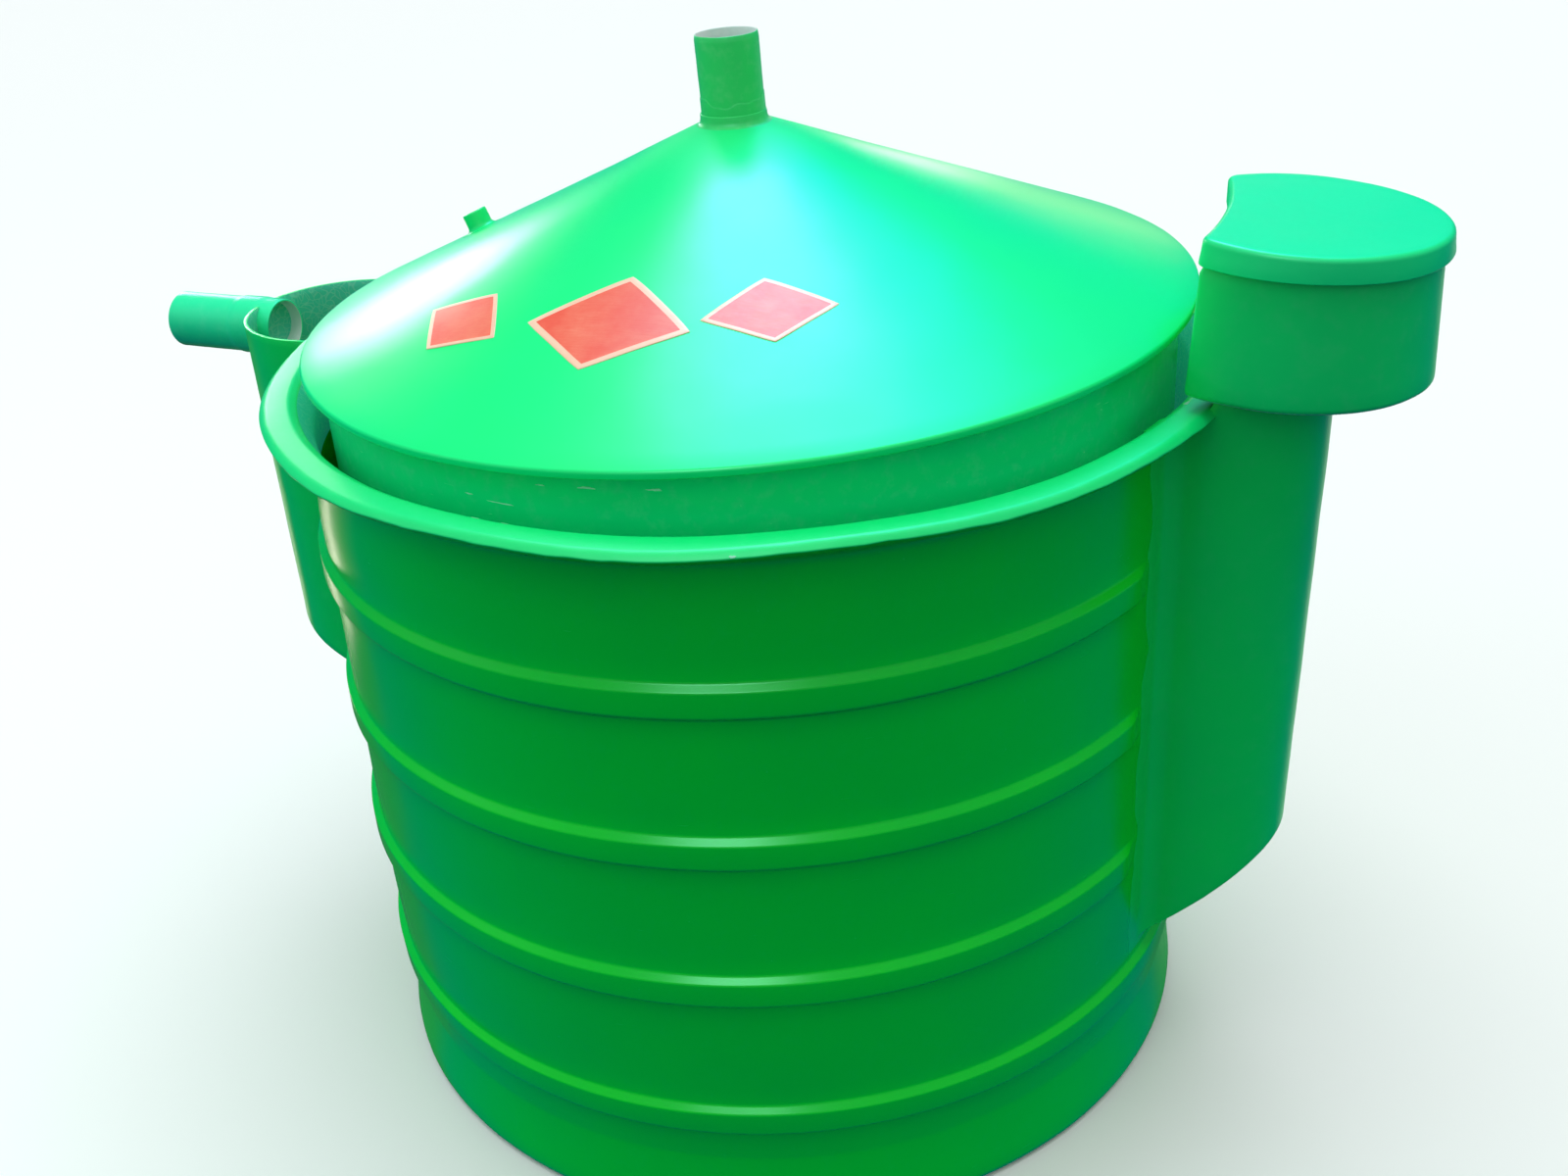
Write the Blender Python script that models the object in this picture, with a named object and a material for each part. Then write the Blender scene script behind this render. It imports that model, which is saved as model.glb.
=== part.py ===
"""Family biogas digester: a glass-fibre tank with a floating gas holder.

Metres, +Z up. The origin is the centre of the tank's underside. The feed hopper stands on
the +X side and the slurry outlet on the -X side. The gas holder floats up on the guide pole,
which stands on the tank's axis.
"""

import math

import bmesh
import bpy
from mathutils import Matrix, Vector

# Clearance between pieces that touch on the real plant
GAP = 0.0003
# Points of one seam that lie closer than this are one point
MERGE_DISTANCE = 1e-5
# Lengths and angles that differ by less than this are the same
TOLERANCE = 1e-6
# How far a cutter runs past the face that it opens
CUT_MARGIN = 0.05

# Every turned piece round the tank shares this division, so that their flats line up
TURN_STEPS = 80
STEP_ANGLE = math.tau / TURN_STEPS
PIPE_STEPS = 32

# Edges sharper than this stay crisp, and rounded edges have this many strips
SHARP_ANGLE = math.radians(35.0)
ROUNDING_STRIPS = 3

# Tank
TANK_RADIUS = 0.550
WALL_THICKNESS = 0.006
FLOOR_THICKNESS = 0.008
WALL_TOP = 0.944
WINDOW_STEPS = 4
PANEL_STEPS = 9
PANELS_PER_SIDE = 4
INLET_WINDOW = (0.225, 0.420)
OUTLET_WINDOW = (0.430, 0.620)

# Rolled rim, an oval bead turned outward at the top of the wall
RIM_CENTRE = (0.5785, 0.9345)
RIM_HALF_WIDTH = 0.0215
RIM_HALF_HEIGHT = 0.012
RIM_ARC = (math.radians(-110.0), math.radians(165.0))
RIM_POINTS = 12

# Hoop ribs, from the lowest to the highest: each height is that of the upper shoulder, and the
# section is in shares of the depth and heights from that shoulder
RIB_HEIGHTS = (0.184, 0.383, 0.575, 0.767)
RIB_DEPTH = 0.0095
RIB_SECTION = ((0.0, -0.037), (0.75, -0.033), (1.0, -0.026), (1.0, -0.006), (0.85, 0.002),
               (0.0, 0.008))
RIB_WAY_HEIGHTS = (0.30, 1.00)

# Inlet duct and outlet chamber: half-round shells laminated onto the wall
SHELL_THICKNESS = 0.005
DUCT_CENTRE = 0.600
DUCT_RADIUS = 0.1075
DUCT_FOOT_AT_WALL = 0.215
DUCT_FOOT_SLOPE = 0.875
DUCT_SEAM = 0.375
CHAMBER_CENTRE = 0.617
CHAMBER_RADIUS = 0.135
CHAMBER_TOP = 0.939
CHAMBER_FOOT_AT_WALL = 0.4165
CHAMBER_FOOT_SLOPE = 0.35
FOOT_ROUNDING = 0.016
BELOW_FOOT = 0.2
SHELL_STEPS = 40

# Heights that clear everything on the tank, for cutters round its wall
BELOW_TANK = -0.1
ABOVE_TANK = 1.1

# Overflow pipe
PIPE_RADIUS = 0.039
PIPE_BORE = 0.036
PIPE_HEIGHT = 0.9045
PIPE_INNER_END = -0.724
PIPE_OUTER_END = -0.900

# Feed hopper and its loose lid: a round outline with a hollow side towards the gas holder
HOPPER_CENTRE = 0.6555
HOPPER_RADIUS = 0.145
HOPPER_HOLLOW_RADIUS = 0.5845
HOPPER_BOTTOM = 0.9575
HOPPER_WALL = 0.004
HOPPER_STEPS = 28
HOLLOW_STEPS = 8
HOPPER_CORNER = 0.010
HOPPER_HOLE_RADIUS = 0.101
HOPPER_HOLE_INSET = 0.002
LID_CLEARANCE = 0.005
LID_TOP = 1.1285
LID_PLATE = 0.004
LID_SKIRT_BOTTOM = 1.101

# Guide pole and its foot
POLE_RADIUS = 0.030
POLE_BORE = 0.027
POLE_TOP = 1.250
POLE_PLAY = 0.0008
FOOT_RADIUS = 0.090
FOOT_PLATE = 0.006
SOCKET_RADIUS = 0.037
SOCKET_HEIGHT = 0.060

# Gas holder: its wall, and the cone roof with a turned-down edge
HOLDER_RADIUS = 0.525
HOLDER_WALL = 0.005
HOLDER_BOTTOM = 0.490
HOLDER_PANELS = 8
ROOF_EDGE_RADIUS = 0.547
ROOF_EDGE_TOP = 1.005
ROOF_EDGE_BOTTOM = 0.9963
ROOF_EDGE_WIDTH = 0.004
ROOF_EDGE_DROP = 0.002
ROOF_SLOPE = 0.406
ROOF_THICKNESS = 0.005
ROOF_SEAT_INSET = 0.003
ROOF_SEAT_SLANT = 0.006

# Laminated collar and guide tube at the roof's peak
COLLAR_RADIUS = 0.0425
COLLAR_TOP = 1.222
COLLAR_FILLET_WIDTH = 0.0035
COLLAR_FILLET_RISE = 0.004
COLLAR_SKIRT = 0.014
GUIDE_TUBE_RADIUS = 0.0385
GUIDE_TUBE_BORE = 0.0355
GUIDE_TUBE_TOP = 1.315

# Gas nozzle, square to the roof
NOZZLE_REACH = 0.372
NOZZLE_RADIUS = 0.016
NOZZLE_BORE = 0.010
NOZZLE_HEIGHT = 0.024

# Rest lugs that carry the empty gas holder
LUG_STEPS_FROM_INLET = (12, 27, 52, 67)
LUG_REACH = 0.508
LUG_NOSE_HEIGHT = 0.020
LUG_ROOT_HEIGHT = 0.064

# Colours, linear
WALL_GREEN = (0.0, 0.265, 0.030)
ROOF_GREEN = (0.0, 0.760, 0.200)
DUCT_GREEN = (0.003, 0.250, 0.060)
BARE_PIPE = (0.330, 0.560, 0.480)
GLOSS = 0.22
SATIN = 0.45

parts = None
cutters = None


def start_scene():
    """Empty the scene and make one collection for the parts and one for the cutters."""
    global parts, cutters
    for old in list(bpy.data.objects):
        bpy.data.objects.remove(old, do_unlink=True)
    parts = bpy.data.collections.new("biogas_digester")
    cutters = bpy.data.collections.new("cutters")
    bpy.context.scene.collection.children.link(parts)
    bpy.context.scene.collection.children.link(cutters)


def finish(name, colour, roughness):
    """Return a plain Principled material."""
    material = bpy.data.materials.new(name + "_finish")
    material.use_nodes = True
    shader = material.node_tree.nodes["Principled BSDF"]
    shader.inputs["Base Color"].default_value = (*colour, 1.0)
    shader.inputs["Roughness"].default_value = roughness
    shader.inputs["Metallic"].default_value = 0.0
    return material


def add_part(name, bm, colour, roughness=GLOSS):
    """Turn a bmesh into a named part with its own material."""
    bmesh.ops.recalc_face_normals(bm, faces=bm.faces)
    mesh = bpy.data.meshes.new(name)
    bm.to_mesh(mesh)
    bm.free()
    part = bpy.data.objects.new(name, mesh)
    parts.objects.link(part)
    mesh.materials.append(finish(name, colour, roughness))
    mesh.shade_smooth()
    mesh.set_sharp_from_angle(angle=SHARP_ANGLE)
    return part


def add_cutter(name, bm):
    """Turn a bmesh into a hidden cutter."""
    bmesh.ops.recalc_face_normals(bm, faces=bm.faces)
    mesh = bpy.data.meshes.new(name)
    bm.to_mesh(mesh)
    bm.free()
    cutter = bpy.data.objects.new(name, mesh)
    cutter.hide_render = True
    cutter.display_type = "WIRE"
    cutters.objects.link(cutter)
    return cutter


def cut(part, cutter):
    """Take the cutter's volume away from the part."""
    modifier = part.modifiers.new("cut_" + cutter.name, "BOOLEAN")
    modifier.operation = "DIFFERENCE"
    modifier.solver = "EXACT"
    modifier.object = cutter


def turned(profile, start=0.0, span=math.tau, steps=TURN_STEPS, centre=(0.0, 0.0)):
    """Spin a closed (radius, height) profile about a vertical axis.

    A profile whose first and last points lie on the axis is left open there. A span under a
    full turn gets flat ends.
    """
    bm = bmesh.new()
    verts = [bm.verts.new((radius, 0.0, height)) for radius, height in profile]
    on_axis = profile[0][0] == 0.0 and profile[-1][0] == 0.0
    first = 1 if on_axis else 0
    edges = [bm.edges.new((verts[i - 1], verts[i])) for i in range(first, len(verts))]
    bmesh.ops.rotate(bm, verts=verts, cent=(0, 0, 0), matrix=Matrix.Rotation(start, 3, "Z"))
    bmesh.ops.spin(bm, geom=verts + edges, cent=(0, 0, 0), axis=(0, 0, 1), angle=span,
                   steps=steps, use_duplicate=False)
    bmesh.ops.remove_doubles(bm, verts=bm.verts, dist=MERGE_DISTANCE)
    if span < math.tau - TOLERANCE:
        ends = [edge for edge in bm.edges if edge.is_boundary]
        bmesh.ops.holes_fill(bm, edges=ends, sides=0)
    bmesh.ops.translate(bm, verts=bm.verts, vec=(centre[0], centre[1], 0.0))
    return bm


def prism(outline, low, high):
    """Raise a flat outline of (x, y) points into a solid between two heights."""
    bm = bmesh.new()
    face = bm.faces.new([bm.verts.new((x, y, low)) for x, y in outline])
    raised = bmesh.ops.extrude_face_region(bm, geom=[face], use_keep_orig=True)
    moved = [item for item in raised["geom"] if isinstance(item, bmesh.types.BMVert)]
    bmesh.ops.translate(bm, verts=moved, vec=(0.0, 0.0, high - low))
    return bm


def ring_profile(inner, outer, low, high):
    """Return the rectangle that turns into a plain ring."""
    return [(inner, low), (outer, low), (outer, high), (inner, high)]


def add_tank_floor():
    """Flat round floor under the wall."""
    profile = [(0.0, 0.0), (TANK_RADIUS, 0.0), (TANK_RADIUS, FLOOR_THICKNESS), (0.0, FLOOR_THICKNESS)]
    add_part("tank_floor", turned(profile), WALL_GREEN)


def add_wall_panel(name, first_step, steps, low, high):
    """One upright panel of the tank wall, with flat ends a hair short of its neighbours."""
    half_gap = 0.5 * GAP / TANK_RADIUS
    start = first_step * STEP_ANGLE + half_gap
    span = steps * STEP_ANGLE - 2.0 * half_gap
    profile = ring_profile(TANK_RADIUS - WALL_THICKNESS, TANK_RADIUS, low, high)
    add_part(name, turned(profile, start, span, steps), WALL_GREEN)


def add_tank_wall():
    """Wall panels: four on each side, and one above and below each window to a duct."""
    low = FLOOR_THICKNESS + GAP
    half_window = WINDOW_STEPS // 2
    half_turn = TURN_STEPS // 2
    for side, first in (("back", half_window), ("front", half_turn + half_window)):
        for index in range(PANELS_PER_SIDE):
            name = f"wall_{side}_{index + 1}"
            add_wall_panel(name, first + index * PANEL_STEPS, PANEL_STEPS, low, WALL_TOP)
    for side, middle, window in (("inlet", 0, INLET_WINDOW), ("outlet", half_turn, OUTLET_WINDOW)):
        first = middle - half_window
        add_wall_panel(f"wall_{side}_low", first, WINDOW_STEPS, low, window[0])
        add_wall_panel(f"wall_{side}_high", first, WINDOW_STEPS, window[1], WALL_TOP)


def rim_profile(grow=0.0):
    """Oval bead with a flat inner side against the wall, grown for a cutter."""
    centre_radius, centre_height = RIM_CENTRE
    points = []
    for index in range(RIM_POINTS):
        angle = RIM_ARC[0] + (RIM_ARC[1] - RIM_ARC[0]) * index / (RIM_POINTS - 1)
        radius = centre_radius + (RIM_HALF_WIDTH + grow) * math.cos(angle)
        height = centre_height + (RIM_HALF_HEIGHT + grow) * math.sin(angle)
        points.append((radius, height))
    inner = TANK_RADIUS + GAP - grow
    return [(inner, points[0][1] - grow)] + points + [(inner, points[-1][1])]


def add_tank_rim():
    """Rolled rim, one ring."""
    add_part("tank_rim", turned(rim_profile()), ROOF_GREEN)


def rib_profile(height):
    """Low band against the wall, with rounded shoulders."""
    inner = TANK_RADIUS + GAP
    return [(inner + share * RIB_DEPTH, height + rise) for share, rise in RIB_SECTION]


def crossing_angle(centre, radius):
    """Angle from the X axis at which a duct's outside meets the outside of the ribs."""
    outer = TANK_RADIUS + RIB_DEPTH
    along = (outer ** 2 + centre ** 2 - radius ** 2) / (2.0 * centre)
    return math.acos(along / outer)


def add_rib_way(name, centre, radius):
    """Upright cylinder as wide as a duct, which clears the ribs out of the duct's way."""
    low, high = RIB_WAY_HEIGHTS
    profile = [(0.0, low), (radius, low), (radius, high), (0.0, high)]
    return add_cutter(name, turned(profile, steps=SHELL_STEPS, centre=(centre, 0.0)))


def add_rib_arc(name, height, start, end):
    """Part of a hoop on the common division, with both ends inside the ducts to be cut."""
    first = math.floor(start / STEP_ANGLE)
    last = math.ceil(end / STEP_ANGLE)
    bm = turned(rib_profile(height), first * STEP_ANGLE, (last - first) * STEP_ANGLE, last - first)
    return add_part(name, bm, WALL_GREEN)


def add_ribs():
    """Four hoop ribs, each stopping at the ducts that stand in its way."""
    at_inlet = crossing_angle(DUCT_CENTRE, DUCT_RADIUS)
    at_outlet = crossing_angle(CHAMBER_CENTRE, CHAMBER_RADIUS)
    add_part("rib_1", turned(rib_profile(RIB_HEIGHTS[0])), WALL_GREEN)
    ways = [add_rib_way("inlet_way", DUCT_CENTRE, DUCT_RADIUS + GAP),
            add_rib_way("outlet_way", -CHAMBER_CENTRE, CHAMBER_RADIUS + GAP)]
    second = add_rib_arc("rib_2", RIB_HEIGHTS[1], at_inlet, math.tau - at_inlet)
    cut(second, ways[0])
    for index in (2, 3):
        height = RIB_HEIGHTS[index]
        arcs = (("back", at_inlet, math.pi - at_outlet),
                ("front", math.pi + at_outlet, math.tau - at_inlet))
        for side, start, end in arcs:
            rib = add_rib_arc(f"rib_{index + 1}_{side}", height, start, end)
            for way in ways:
                cut(rib, way)


def duct_solid(centre, radius, side, top, foot_at_wall, slope, rounding):
    """Upright cylinder with a slanted underside that falls towards the tank."""
    low = foot_at_wall - BELOW_FOOT
    profile = [(0.0, low), (radius, low), (radius, top), (0.0, top)]
    bm = turned(profile, steps=SHELL_STEPS, centre=(side * centre, 0.0))
    normal = Vector((side * slope, 0.0, -1.0)).normalized()
    point = Vector((side * TANK_RADIUS, 0.0, foot_at_wall))
    sliced = bmesh.ops.bisect_plane(bm, geom=bm.verts[:] + bm.edges[:] + bm.faces[:],
                                    plane_co=point, plane_no=normal, clear_outer=True)
    rim = [item for item in sliced["geom_cut"] if isinstance(item, bmesh.types.BMEdge)]
    bmesh.ops.holes_fill(bm, edges=rim, sides=0)
    foot = [edge for edge in bm.edges
            if all(abs((vert.co - point).dot(normal)) < TOLERANCE for vert in edge.verts)]
    bmesh.ops.bevel(bm, geom=foot, offset=rounding, segments=ROUNDING_STRIPS, profile=0.5,
                    affect="EDGES")
    return bm


def add_duct(name, centre, radius, side, top, foot_at_wall, slope):
    """Half-round shell against the tank wall, with a slanted foot of the same thickness."""
    foot_rise = SHELL_THICKNESS * math.hypot(1.0, slope)
    outside = duct_solid(centre, radius, side, top, foot_at_wall, slope, FOOT_ROUNDING)
    inside = duct_solid(centre, radius - SHELL_THICKNESS, side, top + CUT_MARGIN,
                        foot_at_wall + foot_rise, slope, FOOT_ROUNDING - SHELL_THICKNESS)
    duct = add_part(name, outside, DUCT_GREEN)
    cut(duct, add_cutter(name + "_inside", inside))
    beside_tank = TANK_RADIUS + GAP
    tank = [(0.0, BELOW_TANK), (beside_tank, BELOW_TANK), (beside_tank, RIM_CENTRE[1]), RIM_CENTRE,
            (RIM_CENTRE[0], ABOVE_TANK), (0.0, ABOVE_TANK)]
    cut(duct, add_cutter(name + "_tank", turned(tank)))
    cut(duct, add_cutter(name + "_rim", turned(rim_profile(GAP))))
    return duct


def add_inlet_duct():
    """Feed duct from the hopper down to the tank's lower window: a foot and an upright."""
    reach = DUCT_RADIUS + CUT_MARGIN
    outline = [(DUCT_CENTRE - reach, -reach), (DUCT_CENTRE + reach, -reach),
               (DUCT_CENTRE + reach, reach), (DUCT_CENTRE - reach, reach)]
    others = (("inlet_foot", DUCT_SEAM, ABOVE_TANK), ("inlet_duct", BELOW_TANK, DUCT_SEAM + GAP))
    for name, low, high in others:
        duct = add_duct(name, DUCT_CENTRE, DUCT_RADIUS, 1.0, HOPPER_BOTTOM - GAP,
                        DUCT_FOOT_AT_WALL, DUCT_FOOT_SLOPE)
        cut(duct, add_cutter(name + "_seam", prism(outline, low, high)))


def pipe_solid(radius, bore, outer_end, inner_end):
    """Level pipe along X, or a solid bar where the bore is zero."""
    length = inner_end - outer_end
    if bore > 0.0:
        profile = ring_profile(bore, radius, 0.0, length)
    else:
        profile = [(0.0, 0.0), (radius, 0.0), (radius, length), (0.0, length)]
    bm = turned(profile, steps=PIPE_STEPS)
    bmesh.ops.rotate(bm, verts=bm.verts, cent=(0, 0, 0), matrix=Matrix.Rotation(math.pi / 2, 3, "Y"))
    bmesh.ops.translate(bm, verts=bm.verts, vec=(outer_end, 0.0, PIPE_HEIGHT))
    return bm


def add_outlet_chamber():
    """Open-topped slurry chamber, notched for the overflow pipe."""
    chamber = add_duct("outlet_chamber", CHAMBER_CENTRE, CHAMBER_RADIUS, -1.0, CHAMBER_TOP,
                       CHAMBER_FOOT_AT_WALL, CHAMBER_FOOT_SLOPE)
    notch = pipe_solid(PIPE_RADIUS + GAP, 0.0, PIPE_OUTER_END, PIPE_INNER_END)
    cut(chamber, add_cutter("pipe_notch", notch))


def add_overflow_pipe():
    """Short pipe through the chamber's outer side."""
    bm = pipe_solid(PIPE_RADIUS, PIPE_BORE, PIPE_OUTER_END, PIPE_INNER_END)
    add_part("overflow_pipe", bm, ROOF_GREEN)


def hopper_outline(radius, hollow_radius, centre=HOPPER_CENTRE):
    """Round outline with a hollow side that follows a circle about the tank's axis."""
    corner_x = (centre ** 2 + hollow_radius ** 2 - radius ** 2) / (2.0 * centre)
    corner_y = math.sqrt(hollow_radius ** 2 - corner_x ** 2)
    outer_end = math.atan2(corner_y, corner_x - centre)
    inner_end = math.atan2(corner_y, corner_x)
    outline = []
    for index in range(HOPPER_STEPS + 1):
        angle = outer_end * (2.0 * index / HOPPER_STEPS - 1.0)
        outline.append((centre + radius * math.cos(angle), radius * math.sin(angle)))
    for index in range(1, HOLLOW_STEPS):
        angle = inner_end * (1.0 - 2.0 * index / HOLLOW_STEPS)
        outline.append((hollow_radius * math.cos(angle), hollow_radius * math.sin(angle)))
    return outline


def hopper_prism(radius, hollow_radius, low, high, corner):
    """Solid on the hopper's outline, with its two upright corners rounded."""
    outline = hopper_outline(radius, hollow_radius)
    bm = prism(outline, low, high)
    ends = (Vector(outline[0]), Vector(outline[HOPPER_STEPS]))
    upright = [edge for edge in bm.edges
               if abs(edge.verts[0].co.z - edge.verts[1].co.z) > TOLERANCE
               and any((edge.verts[0].co.to_2d() - end).length < TOLERANCE for end in ends)]
    bmesh.ops.bevel(bm, geom=upright, offset=corner, segments=ROUNDING_STRIPS, profile=0.5,
                    affect="EDGES")
    return bm


def add_hopper():
    """Open-topped feed box whose floor has a hole down into the duct."""
    top = LID_TOP - LID_PLATE - GAP
    box = add_part("hopper_body", hopper_prism(HOPPER_RADIUS, HOPPER_HOLLOW_RADIUS, HOPPER_BOTTOM,
                                               top, HOPPER_CORNER), DUCT_GREEN)
    inner_radius = HOPPER_RADIUS - HOPPER_WALL
    inner_hollow = HOPPER_HOLLOW_RADIUS + HOPPER_WALL
    inside = hopper_prism(inner_radius, inner_hollow, HOPPER_BOTTOM + HOPPER_WALL,
                          top + CUT_MARGIN, HOPPER_CORNER - HOPPER_WALL)
    cut(box, add_cutter("hopper_inside", inside))
    hole = hopper_outline(HOPPER_HOLE_RADIUS, inner_hollow + HOPPER_HOLE_INSET, DUCT_CENTRE)
    cut(box, add_cutter("hopper_hole", prism(hole, HOPPER_BOTTOM - CUT_MARGIN,
                                             HOPPER_BOTTOM + CUT_MARGIN)))


def add_hopper_lid():
    """Loose lid with a short skirt round the top of the hopper."""
    inner_radius = HOPPER_RADIUS + LID_CLEARANCE
    inner_hollow = HOPPER_HOLLOW_RADIUS - LID_CLEARANCE
    outside = hopper_prism(inner_radius + LID_PLATE, inner_hollow - LID_PLATE, LID_SKIRT_BOTTOM,
                           LID_TOP, HOPPER_CORNER + LID_PLATE)
    lid = add_part("hopper_lid", outside, ROOF_GREEN)
    inside = hopper_prism(inner_radius, inner_hollow, LID_SKIRT_BOTTOM - CUT_MARGIN,
                          LID_TOP - LID_PLATE, HOPPER_CORNER)
    cut(lid, add_cutter("lid_inside", inside))


def add_guide_pole():
    """Upright pole on the tank's axis, standing in a socketed foot on the floor."""
    plate_low = FLOOR_THICKNESS + GAP
    plate_high = plate_low + FOOT_PLATE
    socket_top = plate_low + SOCKET_HEIGHT
    socket_bore = POLE_RADIUS + POLE_PLAY
    foot = [(0.0, plate_low), (FOOT_RADIUS, plate_low), (FOOT_RADIUS, plate_high),
            (SOCKET_RADIUS, plate_high + FOOT_PLATE), (SOCKET_RADIUS, socket_top),
            (socket_bore, socket_top), (socket_bore, plate_high), (0.0, plate_high)]
    add_part("pole_foot", turned(foot, steps=PIPE_STEPS), WALL_GREEN)
    pole = ring_profile(POLE_BORE, POLE_RADIUS, plate_high + GAP, POLE_TOP)
    add_part("guide_pole", turned(pole, steps=PIPE_STEPS), BARE_PIPE, SATIN)


def add_rest_lugs():
    """Four lugs inside the tank wall, just under the gas holder's lower edge."""
    outer = TANK_RADIUS - WALL_THICKNESS - GAP
    top = HOLDER_BOTTOM - GAP
    profile = [(outer, top - LUG_ROOT_HEIGHT), (outer, top), (LUG_REACH, top),
               (LUG_REACH, top - LUG_NOSE_HEIGHT)]
    for index, step in enumerate(LUG_STEPS_FROM_INLET):
        bm = turned(profile, step * STEP_ANGLE, STEP_ANGLE, 1)
        add_part(f"rest_lug_{index + 1}", bm, WALL_GREEN)


def roof_height(radius):
    """Height of the roof's outer face at a radius."""
    return ROOF_EDGE_TOP + ROOF_SLOPE * (ROOF_EDGE_RADIUS - radius)


def add_holder_roof():
    """Cone with a turned-down edge and a small collar round the guide tube."""
    drop = ROOF_THICKNESS * math.hypot(1.0, ROOF_SLOPE)
    bore = GUIDE_TUBE_RADIUS + GAP
    seat_inner = HOLDER_RADIUS - HOLDER_WALL - ROOF_SEAT_INSET
    collar_foot = COLLAR_RADIUS + COLLAR_SKIRT
    shoulder = ROOF_EDGE_RADIUS - ROOF_EDGE_WIDTH
    profile = [(bore, COLLAR_TOP), (COLLAR_RADIUS, COLLAR_TOP),
               (COLLAR_RADIUS + COLLAR_FILLET_WIDTH, roof_height(COLLAR_RADIUS) + COLLAR_FILLET_RISE),
               (collar_foot, roof_height(collar_foot)), (shoulder, roof_height(shoulder)),
               (ROOF_EDGE_RADIUS, ROOF_EDGE_TOP - ROOF_EDGE_DROP),
               (ROOF_EDGE_RADIUS, ROOF_EDGE_BOTTOM), (seat_inner, ROOF_EDGE_BOTTOM),
               (seat_inner - ROOF_SEAT_SLANT, roof_height(seat_inner) - drop),
               (bore, roof_height(bore) - drop)]
    add_part("holder_roof", turned(profile), ROOF_GREEN)


def add_holder_wall():
    """Gas holder's wall in eight upright panels."""
    steps = TURN_STEPS // HOLDER_PANELS
    half_gap = 0.5 * GAP / HOLDER_RADIUS
    profile = ring_profile(HOLDER_RADIUS - HOLDER_WALL, HOLDER_RADIUS, HOLDER_BOTTOM,
                           ROOF_EDGE_BOTTOM - GAP)
    for index in range(HOLDER_PANELS):
        start = index * steps * STEP_ANGLE + half_gap
        bm = turned(profile, start, steps * STEP_ANGLE - 2.0 * half_gap, steps)
        add_part(f"holder_wall_{index + 1}", bm, WALL_GREEN)


def add_guide_tube():
    """Open tube through the gas holder, which rides on the guide pole."""
    profile = ring_profile(GUIDE_TUBE_BORE, GUIDE_TUBE_RADIUS, HOLDER_BOTTOM, GUIDE_TUBE_TOP)
    add_part("guide_tube", turned(profile, steps=PIPE_STEPS), DUCT_GREEN, SATIN)


def add_gas_nozzle():
    """Short pipe socket standing square on the roof, towards the outlet."""
    profile = ring_profile(NOZZLE_BORE, NOZZLE_RADIUS, 0.0, NOZZLE_HEIGHT)
    bm = turned(profile, steps=PIPE_STEPS // 2)
    tilt = math.atan(ROOF_SLOPE)
    bmesh.ops.translate(bm, verts=bm.verts, vec=(0.0, 0.0, GAP))
    bmesh.ops.rotate(bm, verts=bm.verts, cent=(0, 0, 0), matrix=Matrix.Rotation(-tilt, 3, "Y"))
    bmesh.ops.translate(bm, verts=bm.verts, vec=(-NOZZLE_REACH, 0.0, roof_height(NOZZLE_REACH)))
    add_part("gas_nozzle", bm, DUCT_GREEN)


def build_tank():
    """Everything that stands still."""
    add_tank_floor()
    add_tank_wall()
    add_tank_rim()
    add_ribs()
    add_inlet_duct()
    add_hopper()
    add_outlet_chamber()
    add_overflow_pipe()
    add_rest_lugs()


def build_gas_holder():
    """Everything that floats up with the gas."""
    add_holder_roof()
    add_holder_wall()
    add_guide_tube()
    add_gas_nozzle()


def main():
    """Build the whole plant."""
    start_scene()
    build_tank()
    add_guide_pole()
    build_gas_holder()
    add_hopper_lid()


main()
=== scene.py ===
"""Looks of the family biogas digester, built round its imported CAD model.

Metres, +Z up, in the CAD model's own frame: the origin is the centre of the tank's underside,
the feed hopper stands on +X and the slurry outlet on -X. Every class is one sub-assembly of
the plant, one finish of its surfaces, or the studio that it stands in.
"""

import logging
import math
from dataclasses import dataclass, field
from enum import Enum
from typing import Any, Callable, Sequence

import bmesh
import bpy
import numpy as np
from mathutils import Matrix, Vector, noise


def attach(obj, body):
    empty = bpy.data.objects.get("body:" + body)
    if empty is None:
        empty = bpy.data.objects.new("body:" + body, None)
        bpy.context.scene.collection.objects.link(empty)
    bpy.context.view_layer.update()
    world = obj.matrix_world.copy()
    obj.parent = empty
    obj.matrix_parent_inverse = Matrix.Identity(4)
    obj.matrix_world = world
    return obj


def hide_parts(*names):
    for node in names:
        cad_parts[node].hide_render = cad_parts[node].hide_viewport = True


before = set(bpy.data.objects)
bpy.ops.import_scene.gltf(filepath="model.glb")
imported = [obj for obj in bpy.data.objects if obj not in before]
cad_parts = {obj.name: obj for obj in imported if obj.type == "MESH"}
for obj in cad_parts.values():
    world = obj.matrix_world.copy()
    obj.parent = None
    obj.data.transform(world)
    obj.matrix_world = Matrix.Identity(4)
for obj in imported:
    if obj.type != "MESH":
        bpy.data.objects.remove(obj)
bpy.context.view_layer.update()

log = logging.getLogger("digester")

Point = tuple[float, float]
Corner = tuple[float, float, float]
Places = np.ndarray
Piece = bpy.types.Object
Material = bpy.types.Material
Tree = bpy.types.NodeTree
Node = bpy.types.Node
Socket = bpy.types.NodeSocket

MERGE_DISTANCE = 1e-5
SMOOTH_ANGLE = math.radians(38.0)

# Places of the Mix node's sockets, whose names repeat
SHARE, VECTOR_A, VECTOR_B, COLOUR_A, COLOUR_B = 0, 4, 5, 6, 7
MIXED_VECTOR, MIXED_COLOUR = 1, 2


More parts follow.
